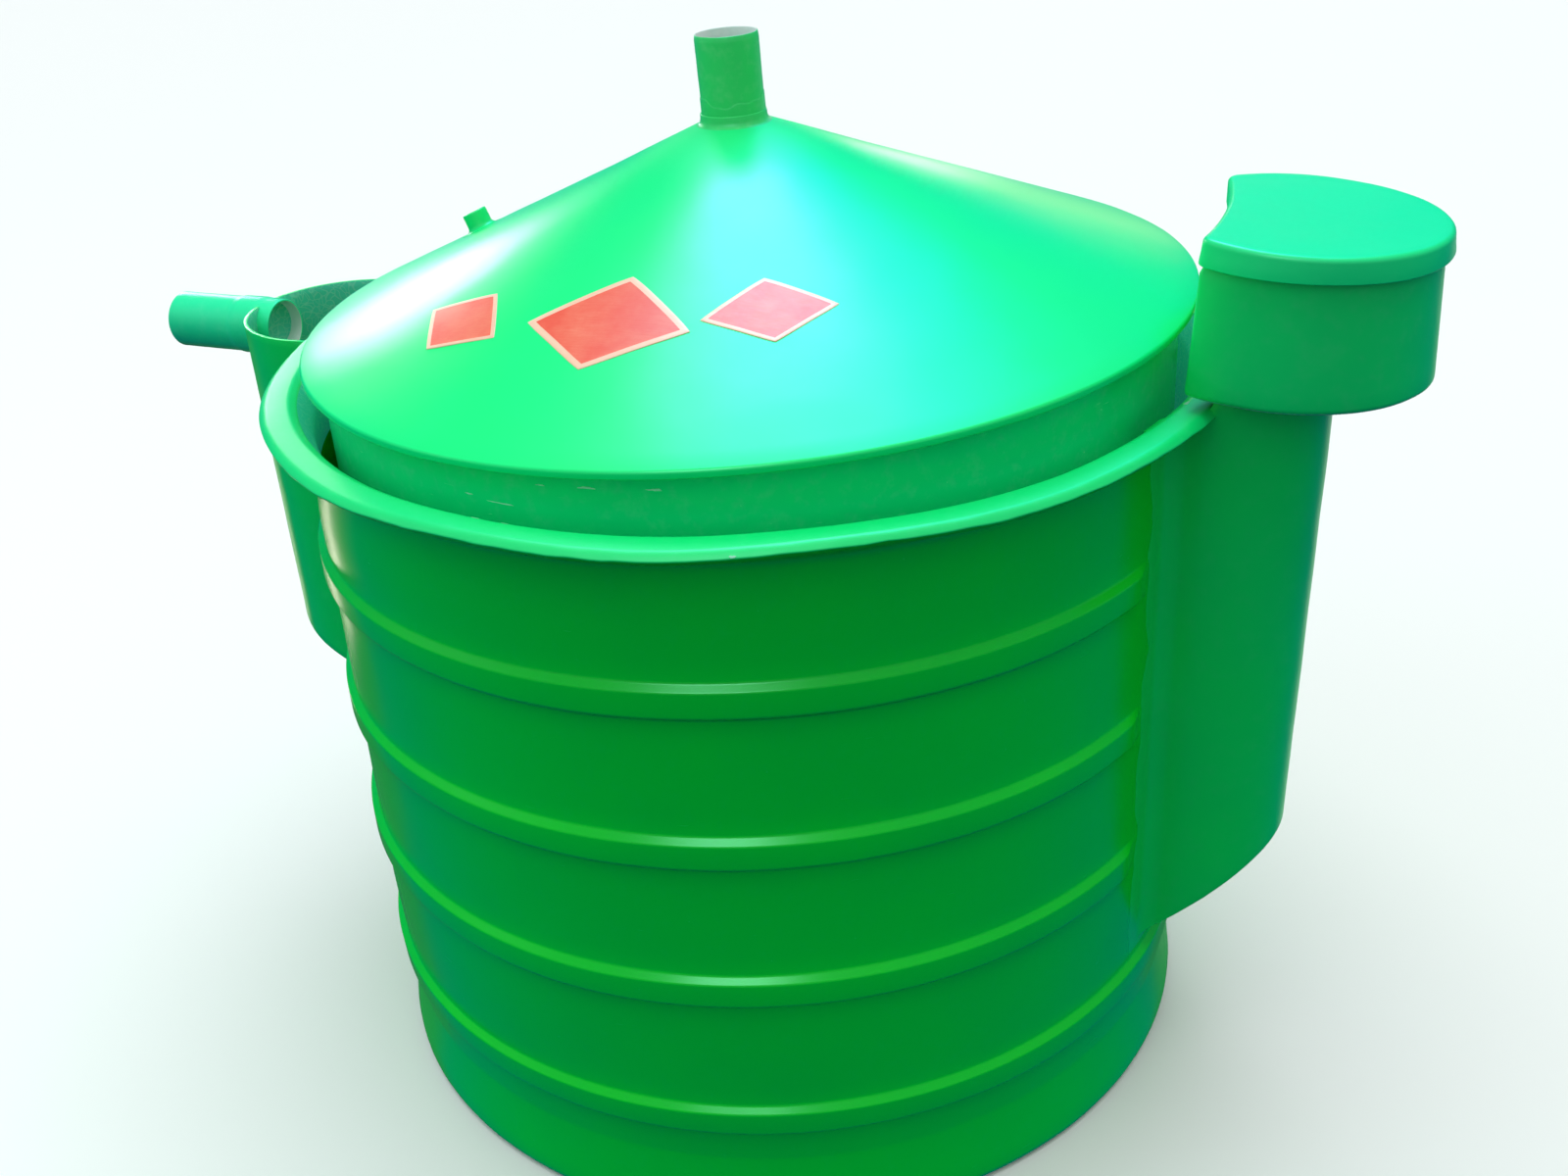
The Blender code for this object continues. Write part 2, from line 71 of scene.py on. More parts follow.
class Body(str, Enum):
    """The bodies of the plant that move as one."""

    TANK = "tank"
    GUIDE_POLE = "guide_pole"
    GAS_HOLDER = "gas_holder"
    HOPPER_LID = "hopper_lid"


class Slot(str, Enum):
    """The record's material slots."""

    WALL = "gelcoat_wall"
    CONE = "gelcoat_cone"
    DUCT = "gelcoat_duct"
    PIPE = "bare_pipe"


# Outlines


def polar(radius: float, angle: float) -> Point:
    """Return the point at a radius and an angle in radians."""
    return radius * math.cos(angle), radius * math.sin(angle)


def arc(centre: Point, radii: Point, start: float, end: float, strips: int) -> list[Point]:
    """Return points along an oval arc.

    Args:
        centre: The oval's centre.
        radii: Its two half-widths.
        start: First angle, in radians.
        end: Last angle, in radians.
        strips: Number of straight pieces.

    Returns:
        The points, both ends included.
    """
    angles = np.linspace(start, end, strips + 1)
    return [(centre[0] + radii[0] * math.cos(a), centre[1] + radii[1] * math.sin(a)) for a in angles]


def rounded(corners: Sequence[Corner], strips: int = 5) -> list[Point]:
    """Round the corners of an open outline.

    Args:
        corners: (x, y, radius) of each corner. The ends stay sharp.
        strips: Number of straight pieces in each rounded corner.

    Returns:
        The outline's points, with an arc in place of each corner that has a radius.
    """
    points: list[Point] = [corners[0][:2]]
    for before, corner, after in zip(corners, corners[1:], corners[2:]):
        here = Vector(corner[:2])
        back = Vector(before[:2]) - here
        ahead = Vector(after[:2]) - here
        half = 0.5 * back.angle(ahead, math.pi)
        if corner[2] <= 0.0 or half > math.radians(89.0):
            points.append(corner[:2])
            continue
        reach = min(corner[2] / math.tan(half), 0.48 * back.length, 0.48 * ahead.length)
        radius = reach * math.tan(half)
        middle = here + (back.normalized() + ahead.normalized()).normalized() * radius / math.sin(half)
        first = here + back.normalized() * reach - middle
        last = here + ahead.normalized() * reach - middle
        turn = first.angle_signed(last)
        for index in range(strips + 1):
            share = -turn * index / strips
            cos, sin = math.cos(share), math.sin(share)
            points.append((middle.x + first.x * cos - first.y * sin,
                           middle.y + first.x * sin + first.y * cos))
    points.append(corners[-1][:2])
    return points


def divided(points: Sequence[Point], longest: float) -> list[Point]:
    """Add points so that no straight run is longer than a length.

    Args:
        points: The outline's points.
        longest: The longest run allowed.

    Returns:
        The points, with others between them where a run was longer.
    """
    result = [points[0]]
    for (x0, y0), (x1, y1) in zip(points, points[1:]):
        runs = max(1, math.ceil(math.hypot(x1 - x0, y1 - y0) / longest))
        for index in range(1, runs + 1):
            share = index / runs
            result.append((x0 + (x1 - x0) * share, y0 + (y1 - y0) * share))
    return result


def smoothstep(value: np.ndarray | float, low: float, high: float) -> Places:
    """Return 0 below low, 1 above high and a soft change between them."""
    share = np.clip((np.asarray(value, float) - low) / (high - low), 0.0, 1.0)
    return share * share * (3.0 - 2.0 * share)


# Modelling steps


def clear_selection() -> None:
    """Deselect everything, and leave no object active."""
    for thing in bpy.context.selected_objects:
        thing.select_set(False)
    bpy.context.view_layer.objects.active = None


def select_only(piece: Piece) -> None:
    """Select one object and make it active.

    Args:
        piece: The object to select.
    """
    clear_selection()
    piece.select_set(True)
    bpy.context.view_layer.objects.active = piece


def named(name: str) -> Piece:
    """Name the new active object, put its place in its mesh, and open it in edit mode.

    Args:
        name: Its new name.

    Returns:
        The object, with all of its mesh selected.
    """
    piece = bpy.context.active_object
    piece.name = name
    piece.data.name = name
    bpy.ops.object.transform_apply(location=True, rotation=True, scale=True)
    bpy.ops.object.mode_set(mode="EDIT")
    bpy.ops.mesh.select_mode(type="VERT")
    bpy.ops.mesh.select_all(action="SELECT")
    return piece


def select_edges(piece: Piece, wanted: Callable[[Any], bool]) -> None:
    """In edit mode, select the edges that pass a test and nothing else.

    Args:
        piece: The object in edit mode.
        wanted: The test.
    """
    bpy.ops.mesh.select_mode(type="EDGE")
    bpy.ops.mesh.select_all(action="DESELECT")
    mesh = bmesh.from_edit_mesh(piece.data)
    for edge in mesh.edges:
        if wanted(edge):
            edge.select_set(True)
    bmesh.update_edit_mesh(piece.data)


def spun(name: str, outline: Sequence[Point], steps: int, closed: bool = True) -> Piece:
    """Draw a (radius, height) outline by extruding one vertex, and spin it about the Z axis.

    Args:
        name: The new object's name.
        outline: The outline's points, in order.
        steps: Number of steps in the full turn.
        closed: Whether the last point joins the first.

    Returns:
        The spun object, in object mode, its faces pointing outwards.
    """
    clear_selection()
    first = outline[0]
    bpy.ops.mesh.primitive_plane_add(size=0.001, location=(first[0], 0.0, first[1]))
    piece = named(name)
    bpy.ops.mesh.merge(type="CENTER")
    for (x0, z0), (x1, z1) in zip(outline, outline[1:]):
        bpy.ops.mesh.extrude_vertices_move(TRANSFORM_OT_translate={"value": (x1 - x0, 0.0, z1 - z0)})
    if closed:
        bpy.ops.mesh.select_all(action="DESELECT")
        mesh = bmesh.from_edit_mesh(piece.data)
        for end in (vert for vert in mesh.verts if len(vert.link_edges) == 1):
            end.select_set(True)
        bmesh.update_edit_mesh(piece.data)
        bpy.ops.mesh.edge_face_add()
    bpy.ops.mesh.select_all(action="SELECT")
    bpy.ops.mesh.spin(steps=steps, angle=math.tau, center=(0.0, 0.0, 0.0), axis=(0.0, 0.0, 1.0))
    bpy.ops.mesh.select_all(action="SELECT")
    bpy.ops.mesh.remove_doubles(threshold=MERGE_DISTANCE)
    bpy.ops.mesh.normals_make_consistent(inside=False)
    bpy.ops.object.mode_set(mode="OBJECT")
    return piece


def turned(name: str, corners: Sequence[Corner], strips: int, longest: float, steps: int,
           closed: bool = True) -> Piece:
    """Round a section's corners and spin it.

    Args:
        name: The new object's name.
        corners: (radius, height, rounding) of each corner.
        strips: Number of straight pieces in each rounded corner.
        longest: The longest straight run in the section.
        steps: Number of steps in the full turn.
        closed: Whether the last corner joins the first.

    Returns:
        The turned object, in object mode.
    """
    return spun(name, divided(rounded(corners, strips), longest), steps, closed)


def moved(piece: Piece, rule: Callable[[np.ndarray], np.ndarray]) -> None:
    """Move a mesh's vertices by a rule on their (n, 3) coordinates.

    Args:
        piece: The object to change.
        rule: Returns the new coordinates.
    """
    flat = np.zeros(len(piece.data.vertices) * 3, np.float32)
    piece.data.vertices.foreach_get("co", flat)
    places = rule(flat.reshape(-1, 3).astype(float))
    piece.data.vertices.foreach_set("co", places.astype(np.float32).ravel())
    piece.data.update()


def apply_modifier(piece: Piece, kind: str, **settings: Any) -> None:
    """Add a modifier with its settings and apply it.

    Args:
        piece: The object to change.
        kind: The modifier's type.
        settings: Attributes to set on it.
    """
    select_only(piece)
    modifier = piece.modifiers.new(kind.lower(), kind)
    for name, value in settings.items():
        setattr(modifier, name, value)
    bpy.ops.object.modifier_apply(modifier=modifier.name)


def hand_laid(piece: Piece, feature: float, height: float) -> None:
    """Make a surface slightly uneven, as glass mat laid by hand is.

    Args:
        piece: The object to change.
        feature: Size of one hollow or swelling.
        height: Difference between the highest and the lowest.
    """
    clouds = bpy.data.textures.new(piece.name + "_unevenness", "CLOUDS")
    clouds.noise_scale = feature
    clouds.noise_depth = 2
    apply_modifier(piece, "DISPLACE", texture=clouds, strength=height, mid_level=0.5,
                   texture_coords="LOCAL")
    bpy.data.textures.remove(clouds)


def cut_away(piece: Piece, cutter: Piece) -> None:
    """Take a cutter's volume away from a piece, and delete the cutter."""
    apply_modifier(piece, "BOOLEAN", operation="DIFFERENCE", solver="EXACT", object=cutter)
    bpy.data.objects.remove(cutter)


def share_out(piece: Piece, rule: Callable[[Vector, Vector], int], *finishes: Material) -> None:
    """Give a piece several finishes, each face the one whose number a rule returns.

    Args:
        piece: The object to finish.
        rule: Returns the number of a face's finish from its centre and its normal.
        finishes: The finishes, in order.
    """
    for finish in finishes:
        piece.data.materials.append(finish)
    for face in piece.data.polygons:
        face.material_index = int(rule(face.center, face.normal))


def off_axis(place: Vector) -> float:
    """Return a place's distance from the tank's axis."""
    return math.hypot(place.x, place.y)


def dress(piece: Piece, body: Body, slot: Slot, *finishes: Material) -> None:
    """Shade a piece smooth between its sharp edges, and give it its body.

    Args:
        piece: The finished piece.
        body: The body that it moves with.
        slot: Its material slot; not used.
        finishes: Its finishes, unless it has them already.
    """
    select_only(piece)
    bpy.ops.object.shade_smooth_by_angle(angle=SMOOTH_ANGLE)
    clear_selection()
    for finish in finishes:
        piece.data.materials.append(finish)
    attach(piece, body.value)
    log.info("%s: %d faces", piece.name, len(piece.data.polygons))


# Finishes


def linear(colour: str) -> tuple[float, float, float, float]:
    """Turn an sRGB hex colour into the linear values that a shader takes.

    Args:
        colour: The colour, as #rrggbb.

    Returns:
        Red, green, blue and full cover.
    """
    parts = [int(colour[i:i + 2], 16) / 255.0 for i in (1, 3, 5)]
    values = [part / 12.92 if part <= 0.04045 else ((part + 0.055) / 1.055) ** 2.4 for part in parts]
    return values[0], values[1], values[2], 1.0


def per_metre(feature_mm: float) -> float:
    """Return the texture scale that gives features of a size in millimetres."""
    return 1000.0 / feature_mm


def metres(height_mm: float) -> float:
    """Return a height in metres from millimetres."""
    return height_mm / 1000.0


def fill(tree: Tree, node: Node, inputs: dict[Any, Any]) -> None:
    """Set or link a node's inputs.

    Args:
        tree: The node tree.
        node: The node.
        inputs: For each input, by name or place, a value, a socket or a node's first output.
    """
    for name, value in inputs.items():
        if isinstance(value, bpy.types.Node):
            value = value.outputs[0]
        if isinstance(value, bpy.types.NodeSocket):
            tree.links.new(value, node.inputs[name])
        else:
            node.inputs[name].default_value = value


def add_node(tree: Tree, kind: str, inputs: dict[Any, Any] | None = None, **settings: Any) -> Node:
    """Add a shader node.

    Args:
        tree: The node tree.
        kind: The node's type name without "ShaderNode".
        inputs: What its inputs take, as fill has it.
        settings: Attributes to set on the node.

    Returns:
        The new node.
    """
    node = tree.nodes.new("ShaderNode" + kind)
    for name, value in settings.items():
        setattr(node, name, value)
    fill(tree, node, inputs or {})
    return node


@dataclass(frozen=True)
class Finish:
    """One finish, made once and shared by the pieces that have it."""

    name: str

    def inputs(self, tree: Tree, place: Socket) -> dict[str, Any]:
        """Return what each input of the shader takes, from the tree and the object's coordinates."""
        raise NotImplementedError

    def material(self) -> Material:
        """Build the material.

        Returns:
            The finished node material.
        """
        material = bpy.data.materials.new(self.name)
        material.use_nodes = True
        tree = material.node_tree
        place = add_node(tree, "TexCoord").outputs["Object"]
        fill(tree, tree.nodes["Principled BSDF"], self.inputs(tree, place))
        return material


@dataclass(frozen=True)
class GelCoat(Finish):
    """Pigmented polyester gel-coat over glass mat, rolled and brushed on by hand.

    It gives the eye a deep wet gloss with soft, slightly wavy reflections, a colour that is
    a little deeper where the coat is thick, and pale scuffs and nibs of dust where it is worn.
    """

    colour: str
    deep: str
    pale: str
    roughness: float = 0.24
    wave_height_mm: float = 0.30
    peel_height_mm: float = 0.010
    mat_height_mm: float = 0.02
    wear: float = 0.10
    dull_round_axis: float = 0.0
    thick_patch_mm: float = 260.0
    wave_mm: float = 95.0
    peel_mm: float = 5.0
    mat_mm: float = 16.0
    nib_mm: float = 14.0
    streak_mm: float = 3.0

    def coat(self, tree: Tree, thick: Node, mottle: Node) -> Socket:
        """Return the coat's colour, deeper where it is thick and paler where fibres show.

        Args:
            tree: The material's node tree.
            thick: How thick the coat lies, 0 to 1.
            mottle: The glass mat's mottling.

        Returns:
            The colour's socket.
        """
        coat = add_node(tree, "Mix", {
            SHARE: thick, COLOUR_A: linear(self.colour), COLOUR_B: linear(self.deep)}, data_type="RGBA")
        showing = add_node(tree, "MapRange", {
            "Value": mottle, "From Min": 0.50, "From Max": 0.80, "To Max": 0.6 * self.wear})
        mottled = add_node(tree, "Mix", {
            SHARE: showing, COLOUR_A: coat.outputs[MIXED_COLOUR], COLOUR_B: linear(self.pale)},
            data_type="RGBA")
        return mottled.outputs[MIXED_COLOUR]

    def marks(self, tree: Tree, place: Socket, mottle: Node) -> Node:
        """Return how scuffed each place is: scattered nibs and short rubbed streaks.

        Args:
            tree: The material's node tree.
            place: The object's coordinates.
            mottle: The glass mat's mottling.

        Returns:
            The node whose output is 0 to 1.
        """
        nibs = add_node(tree, "TexVoronoi", {"Vector": place, "Scale": per_metre(self.nib_mm)},
                        feature="F1")
        nib = add_node(tree, "MapRange", {
            "Value": nibs, "From Min": 0.035, "From Max": 0.075, "To Min": 1.0, "To Max": 0.0})
        worn_patch = add_node(tree, "MapRange", {
            "Value": mottle, "From Min": 0.58, "From Max": 0.68, "To Max": self.wear})
        worn_nib = add_node(tree, "Math", {0: nib, 1: worn_patch}, operation="MULTIPLY")
        stretched = add_node(tree, "Mapping", {
            "Vector": place, "Rotation": (0.21, 0.13, 0.0), "Scale": (0.06, 0.06, 0.8)})
        rubbed = add_node(tree, "TexNoise", {
            "Vector": stretched, "Scale": per_metre(self.streak_mm), "Detail": 3.0, "Distortion": 0.4})
        rub = add_node(tree, "MapRange", {
            "Value": rubbed, "From Min": 0.74, "From Max": 0.80, "To Max": self.wear})
        return add_node(tree, "Math", {0: worn_nib, 1: rub}, operation="MAXIMUM")

    def dullness(self, tree: Tree, place: Socket, thick: Node, marks: Node) -> Node:
        """Return the roughness: less where the coat is thick, more on marks and round the peak.

        Args:
            tree: The material's node tree.
            place: The object's coordinates.
            thick: How thick the coat lies, 0 to 1.
            marks: How scuffed each place is, 0 to 1.

        Returns:
            The node whose output is the roughness.
        """
        rough = add_node(tree, "MapRange", {
            "Value": thick, "To Min": self.roughness + 0.025, "To Max": self.roughness - 0.025})
        if self.dull_round_axis > 0.0:
            level = add_node(tree, "VectorMath", {0: place, 1: (1.0, 1.0, 0.0)}, operation="MULTIPLY")
            reach = add_node(tree, "VectorMath", {0: level}, operation="LENGTH")
            brushed = add_node(tree, "MapRange", {
                "Value": reach.outputs["Value"], "From Min": 0.04, "From Max": self.dull_round_axis,
                "To Min": 0.22, "To Max": 0.0}, interpolation_type="SMOOTHSTEP")
            rough = add_node(tree, "Math", {0: rough, 1: brushed})
        return add_node(tree, "Math", {0: rough, 1: marks}, operation="ADD", use_clamp=True)

    def relief(self, tree: Tree, place: Socket, mottle: Node) -> Node:
        """Return the surface normal: slow waves, print of the glass mat and orange peel.

        Args:
            tree: The material's node tree.
            place: The object's coordinates.
            mottle: The glass mat's mottling.

        Returns:
            The node whose output is the normal.
        """
        wave = add_node(tree, "TexNoise", {
            "Vector": place, "Scale": per_metre(self.wave_mm), "Detail": 2.0, "Roughness": 0.4})
        peel = add_node(tree, "TexNoise", {
            "Vector": place, "Scale": per_metre(self.peel_mm), "Detail": 2.0})
        waves = add_node(tree, "Bump", {"Height": wave, "Distance": metres(self.wave_height_mm)})
        mat = add_node(tree, "Bump", {
            "Height": mottle, "Distance": metres(self.mat_height_mm), "Normal": waves})
        return add_node(tree, "Bump", {
            "Height": peel, "Distance": metres(self.peel_height_mm), "Normal": mat})

    def inputs(self, tree: Tree, place: Socket) -> dict[str, Any]:
        """Return the coat's colour with its marks, its roughness and its relief.

        Args:
            tree: The material's node tree.
            place: The object's coordinates.

        Returns:
            What each of the shader's inputs takes.
        """
        mottle = add_node(tree, "TexNoise", {
            "Vector": place, "Scale": per_metre(self.mat_mm), "Detail": 5.0, "Roughness": 0.65})
        patches = add_node(tree, "TexNoise", {
            "Vector": place, "Scale": per_metre(self.thick_patch_mm), "Detail": 3.0, "Roughness": 0.55})
        thick = add_node(tree, "MapRange", {"Value": patches, "From Min": 0.15, "From Max": 0.85})
        marks = self.marks(tree, place, mottle)
        marked = add_node(tree, "Mix", {
            SHARE: marks, COLOUR_A: self.coat(tree, thick, mottle), COLOUR_B: linear(self.pale)},
            data_type="RGBA")
        return {"Base Color": marked.outputs[MIXED_COLOUR],
                "Roughness": self.dullness(tree, place, thick, marks),
                "Normal": self.relief(tree, place, mottle), "IOR": 1.52}


@dataclass(frozen=True)
class BareLaminate(Finish):
    """Resin-wet chopped glass mat with no gel-coat, as the inside of a hand-laid shell is left.

    It gives the eye a satin green with pale crossing fibres and the roller's lumps. An optional faint
    glow in its own colour is painted light that lifts shaded gaps.
    """

    colour: str
    fibre: str
    fibre_mm: float = 11.0
    thread_height_mm: float = 0.1
    lump_mm: float = 22.0
    lump_height_mm: float = 0.7
    painted_glow: float = 0.0

    def inputs(self, tree: Tree, place: Socket) -> dict[str, Any]:
        """Return the fibres' colours, the satin roughness, the lumps and a faint glow, which is painted
        light.

        Args:
            tree: The material's node tree.
            place: The object's coordinates.

        Returns:
            What each of the shader's inputs takes.
        """
        bent = add_node(tree, "TexNoise", {
            "Vector": place, "Scale": per_metre(3.0 * self.fibre_mm), "Detail": 1.0})
        mixed = add_node(tree, "Mix", {
            SHARE: 0.06, VECTOR_A: place, VECTOR_B: bent.outputs[1]}, data_type="VECTOR")
        fibres = add_node(tree, "TexVoronoi", {
            "Vector": mixed.outputs[MIXED_VECTOR], "Scale": per_metre(self.fibre_mm)},
            feature="DISTANCE_TO_EDGE")
        thread = add_node(tree, "MapRange", {
            "Value": fibres, "From Min": 0.0, "From Max": 0.09, "To Min": 0.55, "To Max": 0.0})
        shade = add_node(tree, "Mix", {
            SHARE: thread, COLOUR_A: linear(self.colour), COLOUR_B: linear(self.fibre)},
            data_type="RGBA")
        lumps = add_node(tree, "TexNoise", {
            "Vector": place, "Scale": per_metre(self.lump_mm), "Detail": 3.0})
        dull = add_node(tree, "MapRange", {"Value": lumps, "To Min": 0.38, "To Max": 0.58})
        lumpy = add_node(tree, "Bump", {"Height": lumps, "Distance": metres(self.lump_height_mm)})
        threads = add_node(tree, "Bump", {
            "Height": thread, "Distance": metres(self.thread_height_mm), "Normal": lumpy})
        # The emission is painted light: a faint glow in the laminate's own colour that lifts shaded
        # gaps.
        return {"Base Color": shade.outputs[MIXED_COLOUR], "Roughness": dull, "Normal": threads,
                "IOR": 1.54, "Emission Color": linear(self.colour),
                "Emission Strength": self.painted_glow}


@dataclass(frozen=True)
class ExtrudedPipe(Finish):
    """Rigid PVC pipe, extruded: pale, satin, with faint lengthwise drag lines and smears."""

    colour: str
    smear: str
    line_mm: float = 2.0
    line_height_mm: float = 0.02
    smear_mm: float = 45.0

    def inputs(self, tree: Tree, place: Socket) -> dict[str, Any]:
        """Return the smeared colour, the satin roughness and the drag lines.

        Args:
            tree: The material's node tree.
            place: The object's coordinates.

        Returns:
            What each of the shader's inputs takes.
        """
        smears = add_node(tree, "TexNoise", {
            "Vector": place, "Scale": per_metre(self.smear_mm), "Detail": 4.0, "Roughness": 0.6})
        smeared = add_node(tree, "MapRange", {
            "Value": smears, "From Min": 0.48, "From Max": 0.72, "To Max": 0.6})
        shade = add_node(tree, "Mix", {
            SHARE: smeared, COLOUR_A: linear(self.colour), COLOUR_B: linear(self.smear)},
            data_type="RGBA")
        dull = add_node(tree, "MapRange", {"Value": smears, "To Min": 0.32, "To Max": 0.5})
        drawn = add_node(tree, "Mapping", {"Vector": place, "Scale": (1.0, 1.0, 0.03)})
        lines = add_node(tree, "TexNoise", {
            "Vector": drawn, "Scale": per_metre(self.line_mm), "Detail": 1.0})
        drag = add_node(tree, "Bump", {"Height": lines, "Distance": metres(self.line_height_mm)})
        return {"Base Color": shade.outputs[MIXED_COLOUR], "Roughness": dull, "Normal": drag,
                "IOR": 1.54}


@dataclass(frozen=True)
class BrushedEnamel(Finish):
    """Brushed-on enamel paint: strong colour with brush ridges and thin, paler patches."""

    colour: str
    thin: str
    ridge_mm: float = 2.2
    ridge_height_mm: float = 0.12
    patch_mm: float = 60.0

    def inputs(self, tree: Tree, place: Socket) -> dict[str, Any]:
        """Return the paint's colours, its roughness and the brush's ridges.

        Args:
            tree: The material's node tree.
            place: The object's coordinates.

        Returns:
            What each of the shader's inputs takes.
        """
        patches = add_node(tree, "TexNoise", {
            "Vector": place, "Scale": per_metre(self.patch_mm), "Detail": 4.0, "Roughness": 0.6})
        patch = add_node(tree, "MapRange", {
            "Value": patches, "From Min": 0.42, "From Max": 0.72, "To Max": 0.75})
        stroke_way = add_node(tree, "Mapping", {"Vector": place, "Scale": (0.12, 1.0, 1.0)})
        strokes = add_node(tree, "TexNoise", {
            "Vector": stroke_way, "Scale": per_metre(self.ridge_mm), "Detail": 2.0})
        stroke = add_node(tree, "MapRange", {
            "Value": strokes, "From Min": 0.35, "From Max": 0.75, "To Min": 0.6})
        thinness = add_node(tree, "Math", {0: patch, 1: stroke}, operation="MULTIPLY")
        shade = add_node(tree, "Mix", {
            SHARE: thinness, COLOUR_A: linear(self.colour), COLOUR_B: linear(self.thin)},
            data_type="RGBA")
        dull = add_node(tree, "MapRange", {"Value": strokes, "To Min": 0.30, "To Max": 0.46})
        ridges = add_node(tree, "Bump", {"Height": strokes, "Distance": metres(self.ridge_height_mm)})
        return {"Base Color": shade.outputs[MIXED_COLOUR], "Roughness": dull, "Normal": ridges}


@dataclass(frozen=True)
class StudioFloor(Finish):
    """Seamless matt paper, pale grey with the faintest fibre."""

    name: str = "paper_floor"
    colour: str = "#ecf2f1"
    fibre_mm: float = 4.0

    def inputs(self, tree: Tree, place: Socket) -> dict[str, Any]:
        """Return the paper's even colour and its fibrous dullness.

        Args:
            tree: The material's node tree.
            place: The object's coordinates.

        Returns:
            What each of the shader's inputs takes.
        """
        fibres = add_node(tree, "TexNoise", {
            "Vector": place, "Scale": per_metre(self.fibre_mm), "Detail": 2.0})
        rough = add_node(tree, "MapRange", {"Value": fibres, "To Min": 0.85, "To Max": 0.95})
        return {"Base Color": linear(self.colour), "Roughness": rough, "Specular IOR Level": 0.1}


@dataclass(frozen=True)
class FarLawn(Finish):
    """Mown grass far off, as a shine shows it: an even dim green with no detail."""

    name: str = "lawn_card"
    colour: str = "#3c785c"

    def inputs(self, tree: Tree, place: Socket) -> dict[str, Any]:
        """Return the even glow."""
        return {"Base Color": linear("#000000"), "Emission Color": linear(self.colour),
                "Emission Strength": 1.0}


@dataclass
class Finishes:
    """Every finish on the plant, built once."""

    def __post_init__(self) -> None:
        """Build the materials."""
        self.wall = GelCoat("gelcoat_tank_wall", "#00e41c", "#00d628", "#10e070").material()
        # The rim's finish is a paler, bluer copy of the wall's gel-coat: painted light from above on the
        # rim's top. The gas nozzle takes it too.
        self.rim = GelCoat("gelcoat_rim_painted_lit", "#00f078", "#00e47c", "#50f0a0", roughness=0.40,
                           wear=0.25).material()
        self.roof = GelCoat("gelcoat_roof", "#00fc78", "#00f48c", "#40ffc0", roughness=0.302,
                            wave_height_mm=0.45, peel_height_mm=0.003, mat_height_mm=0.003,
                            wear=0.0, dull_round_axis=0.15).material()
        # The holder wall's green is set paler, partly painted light that makes up for the shade in the
        # narrow gap under the roof's edge.
        self.holder = GelCoat("gelcoat_holder_wall", "#00f088", "#00dc80", "#80f0c0",
                              wear=0.30).material()
        self.duct = GelCoat("gelcoat_duct_shell", "#00ec58", "#04dc64", "#50e090", roughness=0.32,
                            mat_height_mm=0.10, wear=0.20).material()
        self.hopper = GelCoat("gelcoat_hopper_box", "#00f070", "#08dc74", "#60e8a0", roughness=0.36,
                              mat_height_mm=0.12, wear=0.25).material()
        self.lid = GelCoat("gelcoat_hopper_lid", "#00f48e", "#00ec88", "#50f8b0", roughness=0.38,
                           mat_height_mm=0.10, wear=0.15).material()
        self.stub = GelCoat("gelcoat_guide_tube", "#40f07c", "#2cdc6c", "#8ff0a8", roughness=0.38,
                            mat_height_mm=0.35, wear=0.5).material()
        self.spout = GelCoat("gelcoat_overflow_pipe", "#28fca0", "#18e4a8", "#80ffd0",
                             roughness=0.32, mat_height_mm=0.15, wear=0.3).material()
        self.inside = BareLaminate("bare_laminate_inside", "#4cd8b8", "#a0e8d0").material()
        # The tank's inside glows faintly: painted light that lifts the shade in the gap round the gas
        # holder.
        self.tank_inside = BareLaminate("bare_laminate_tank_inside", "#34d0bc", "#90e4d0",
                                        painted_glow=0.11).material()
        self.pipe = ExtrudedPipe("bare_pvc_pipe", "#e2f0e8", "#b4e4cc").material()
        self.paint = BrushedEnamel("orange_enamel", "#f4562a", "#fb9066").material()
        self.border = BrushedEnamel("pale_enamel_border", "#f7cfae", "#f9b48c").material()
        self.chipped = BareLaminate("chipped_gelcoat", "#90ecc0", "#d8fff0", fibre_mm=3.0).material()


# Sub-assemblies


def swell(places: Places) -> Places:
    """Swell the middle of the tank's wall, most on the outlet side, as the moulding has.

    Args:
        places: Vertex coordinates of the tank or of a duct on it.

    Returns:
        The new coordinates.
    """
    everywhere, one_side, side = 0.0045, 0.0030, math.radians(190.0)
    radius = np.maximum(np.hypot(places[:, 0], places[:, 1]), 1e-6)
    angle = np.arctan2(places[:, 1], places[:, 0])
    height = smoothstep(places[:, 2], 0.05, 0.30) * (1.0 - smoothstep(places[:, 2], 0.80, 0.90))
    near_wall = smoothstep(radius, 0.50, 0.54) * (1.0 - smoothstep(radius, 0.57, 0.62))
    grow = height * near_wall * (everywhere + one_side * np.cos(angle - side))
    places[:, :2] *= (1.0 + grow / radius)[:, None]
    return places


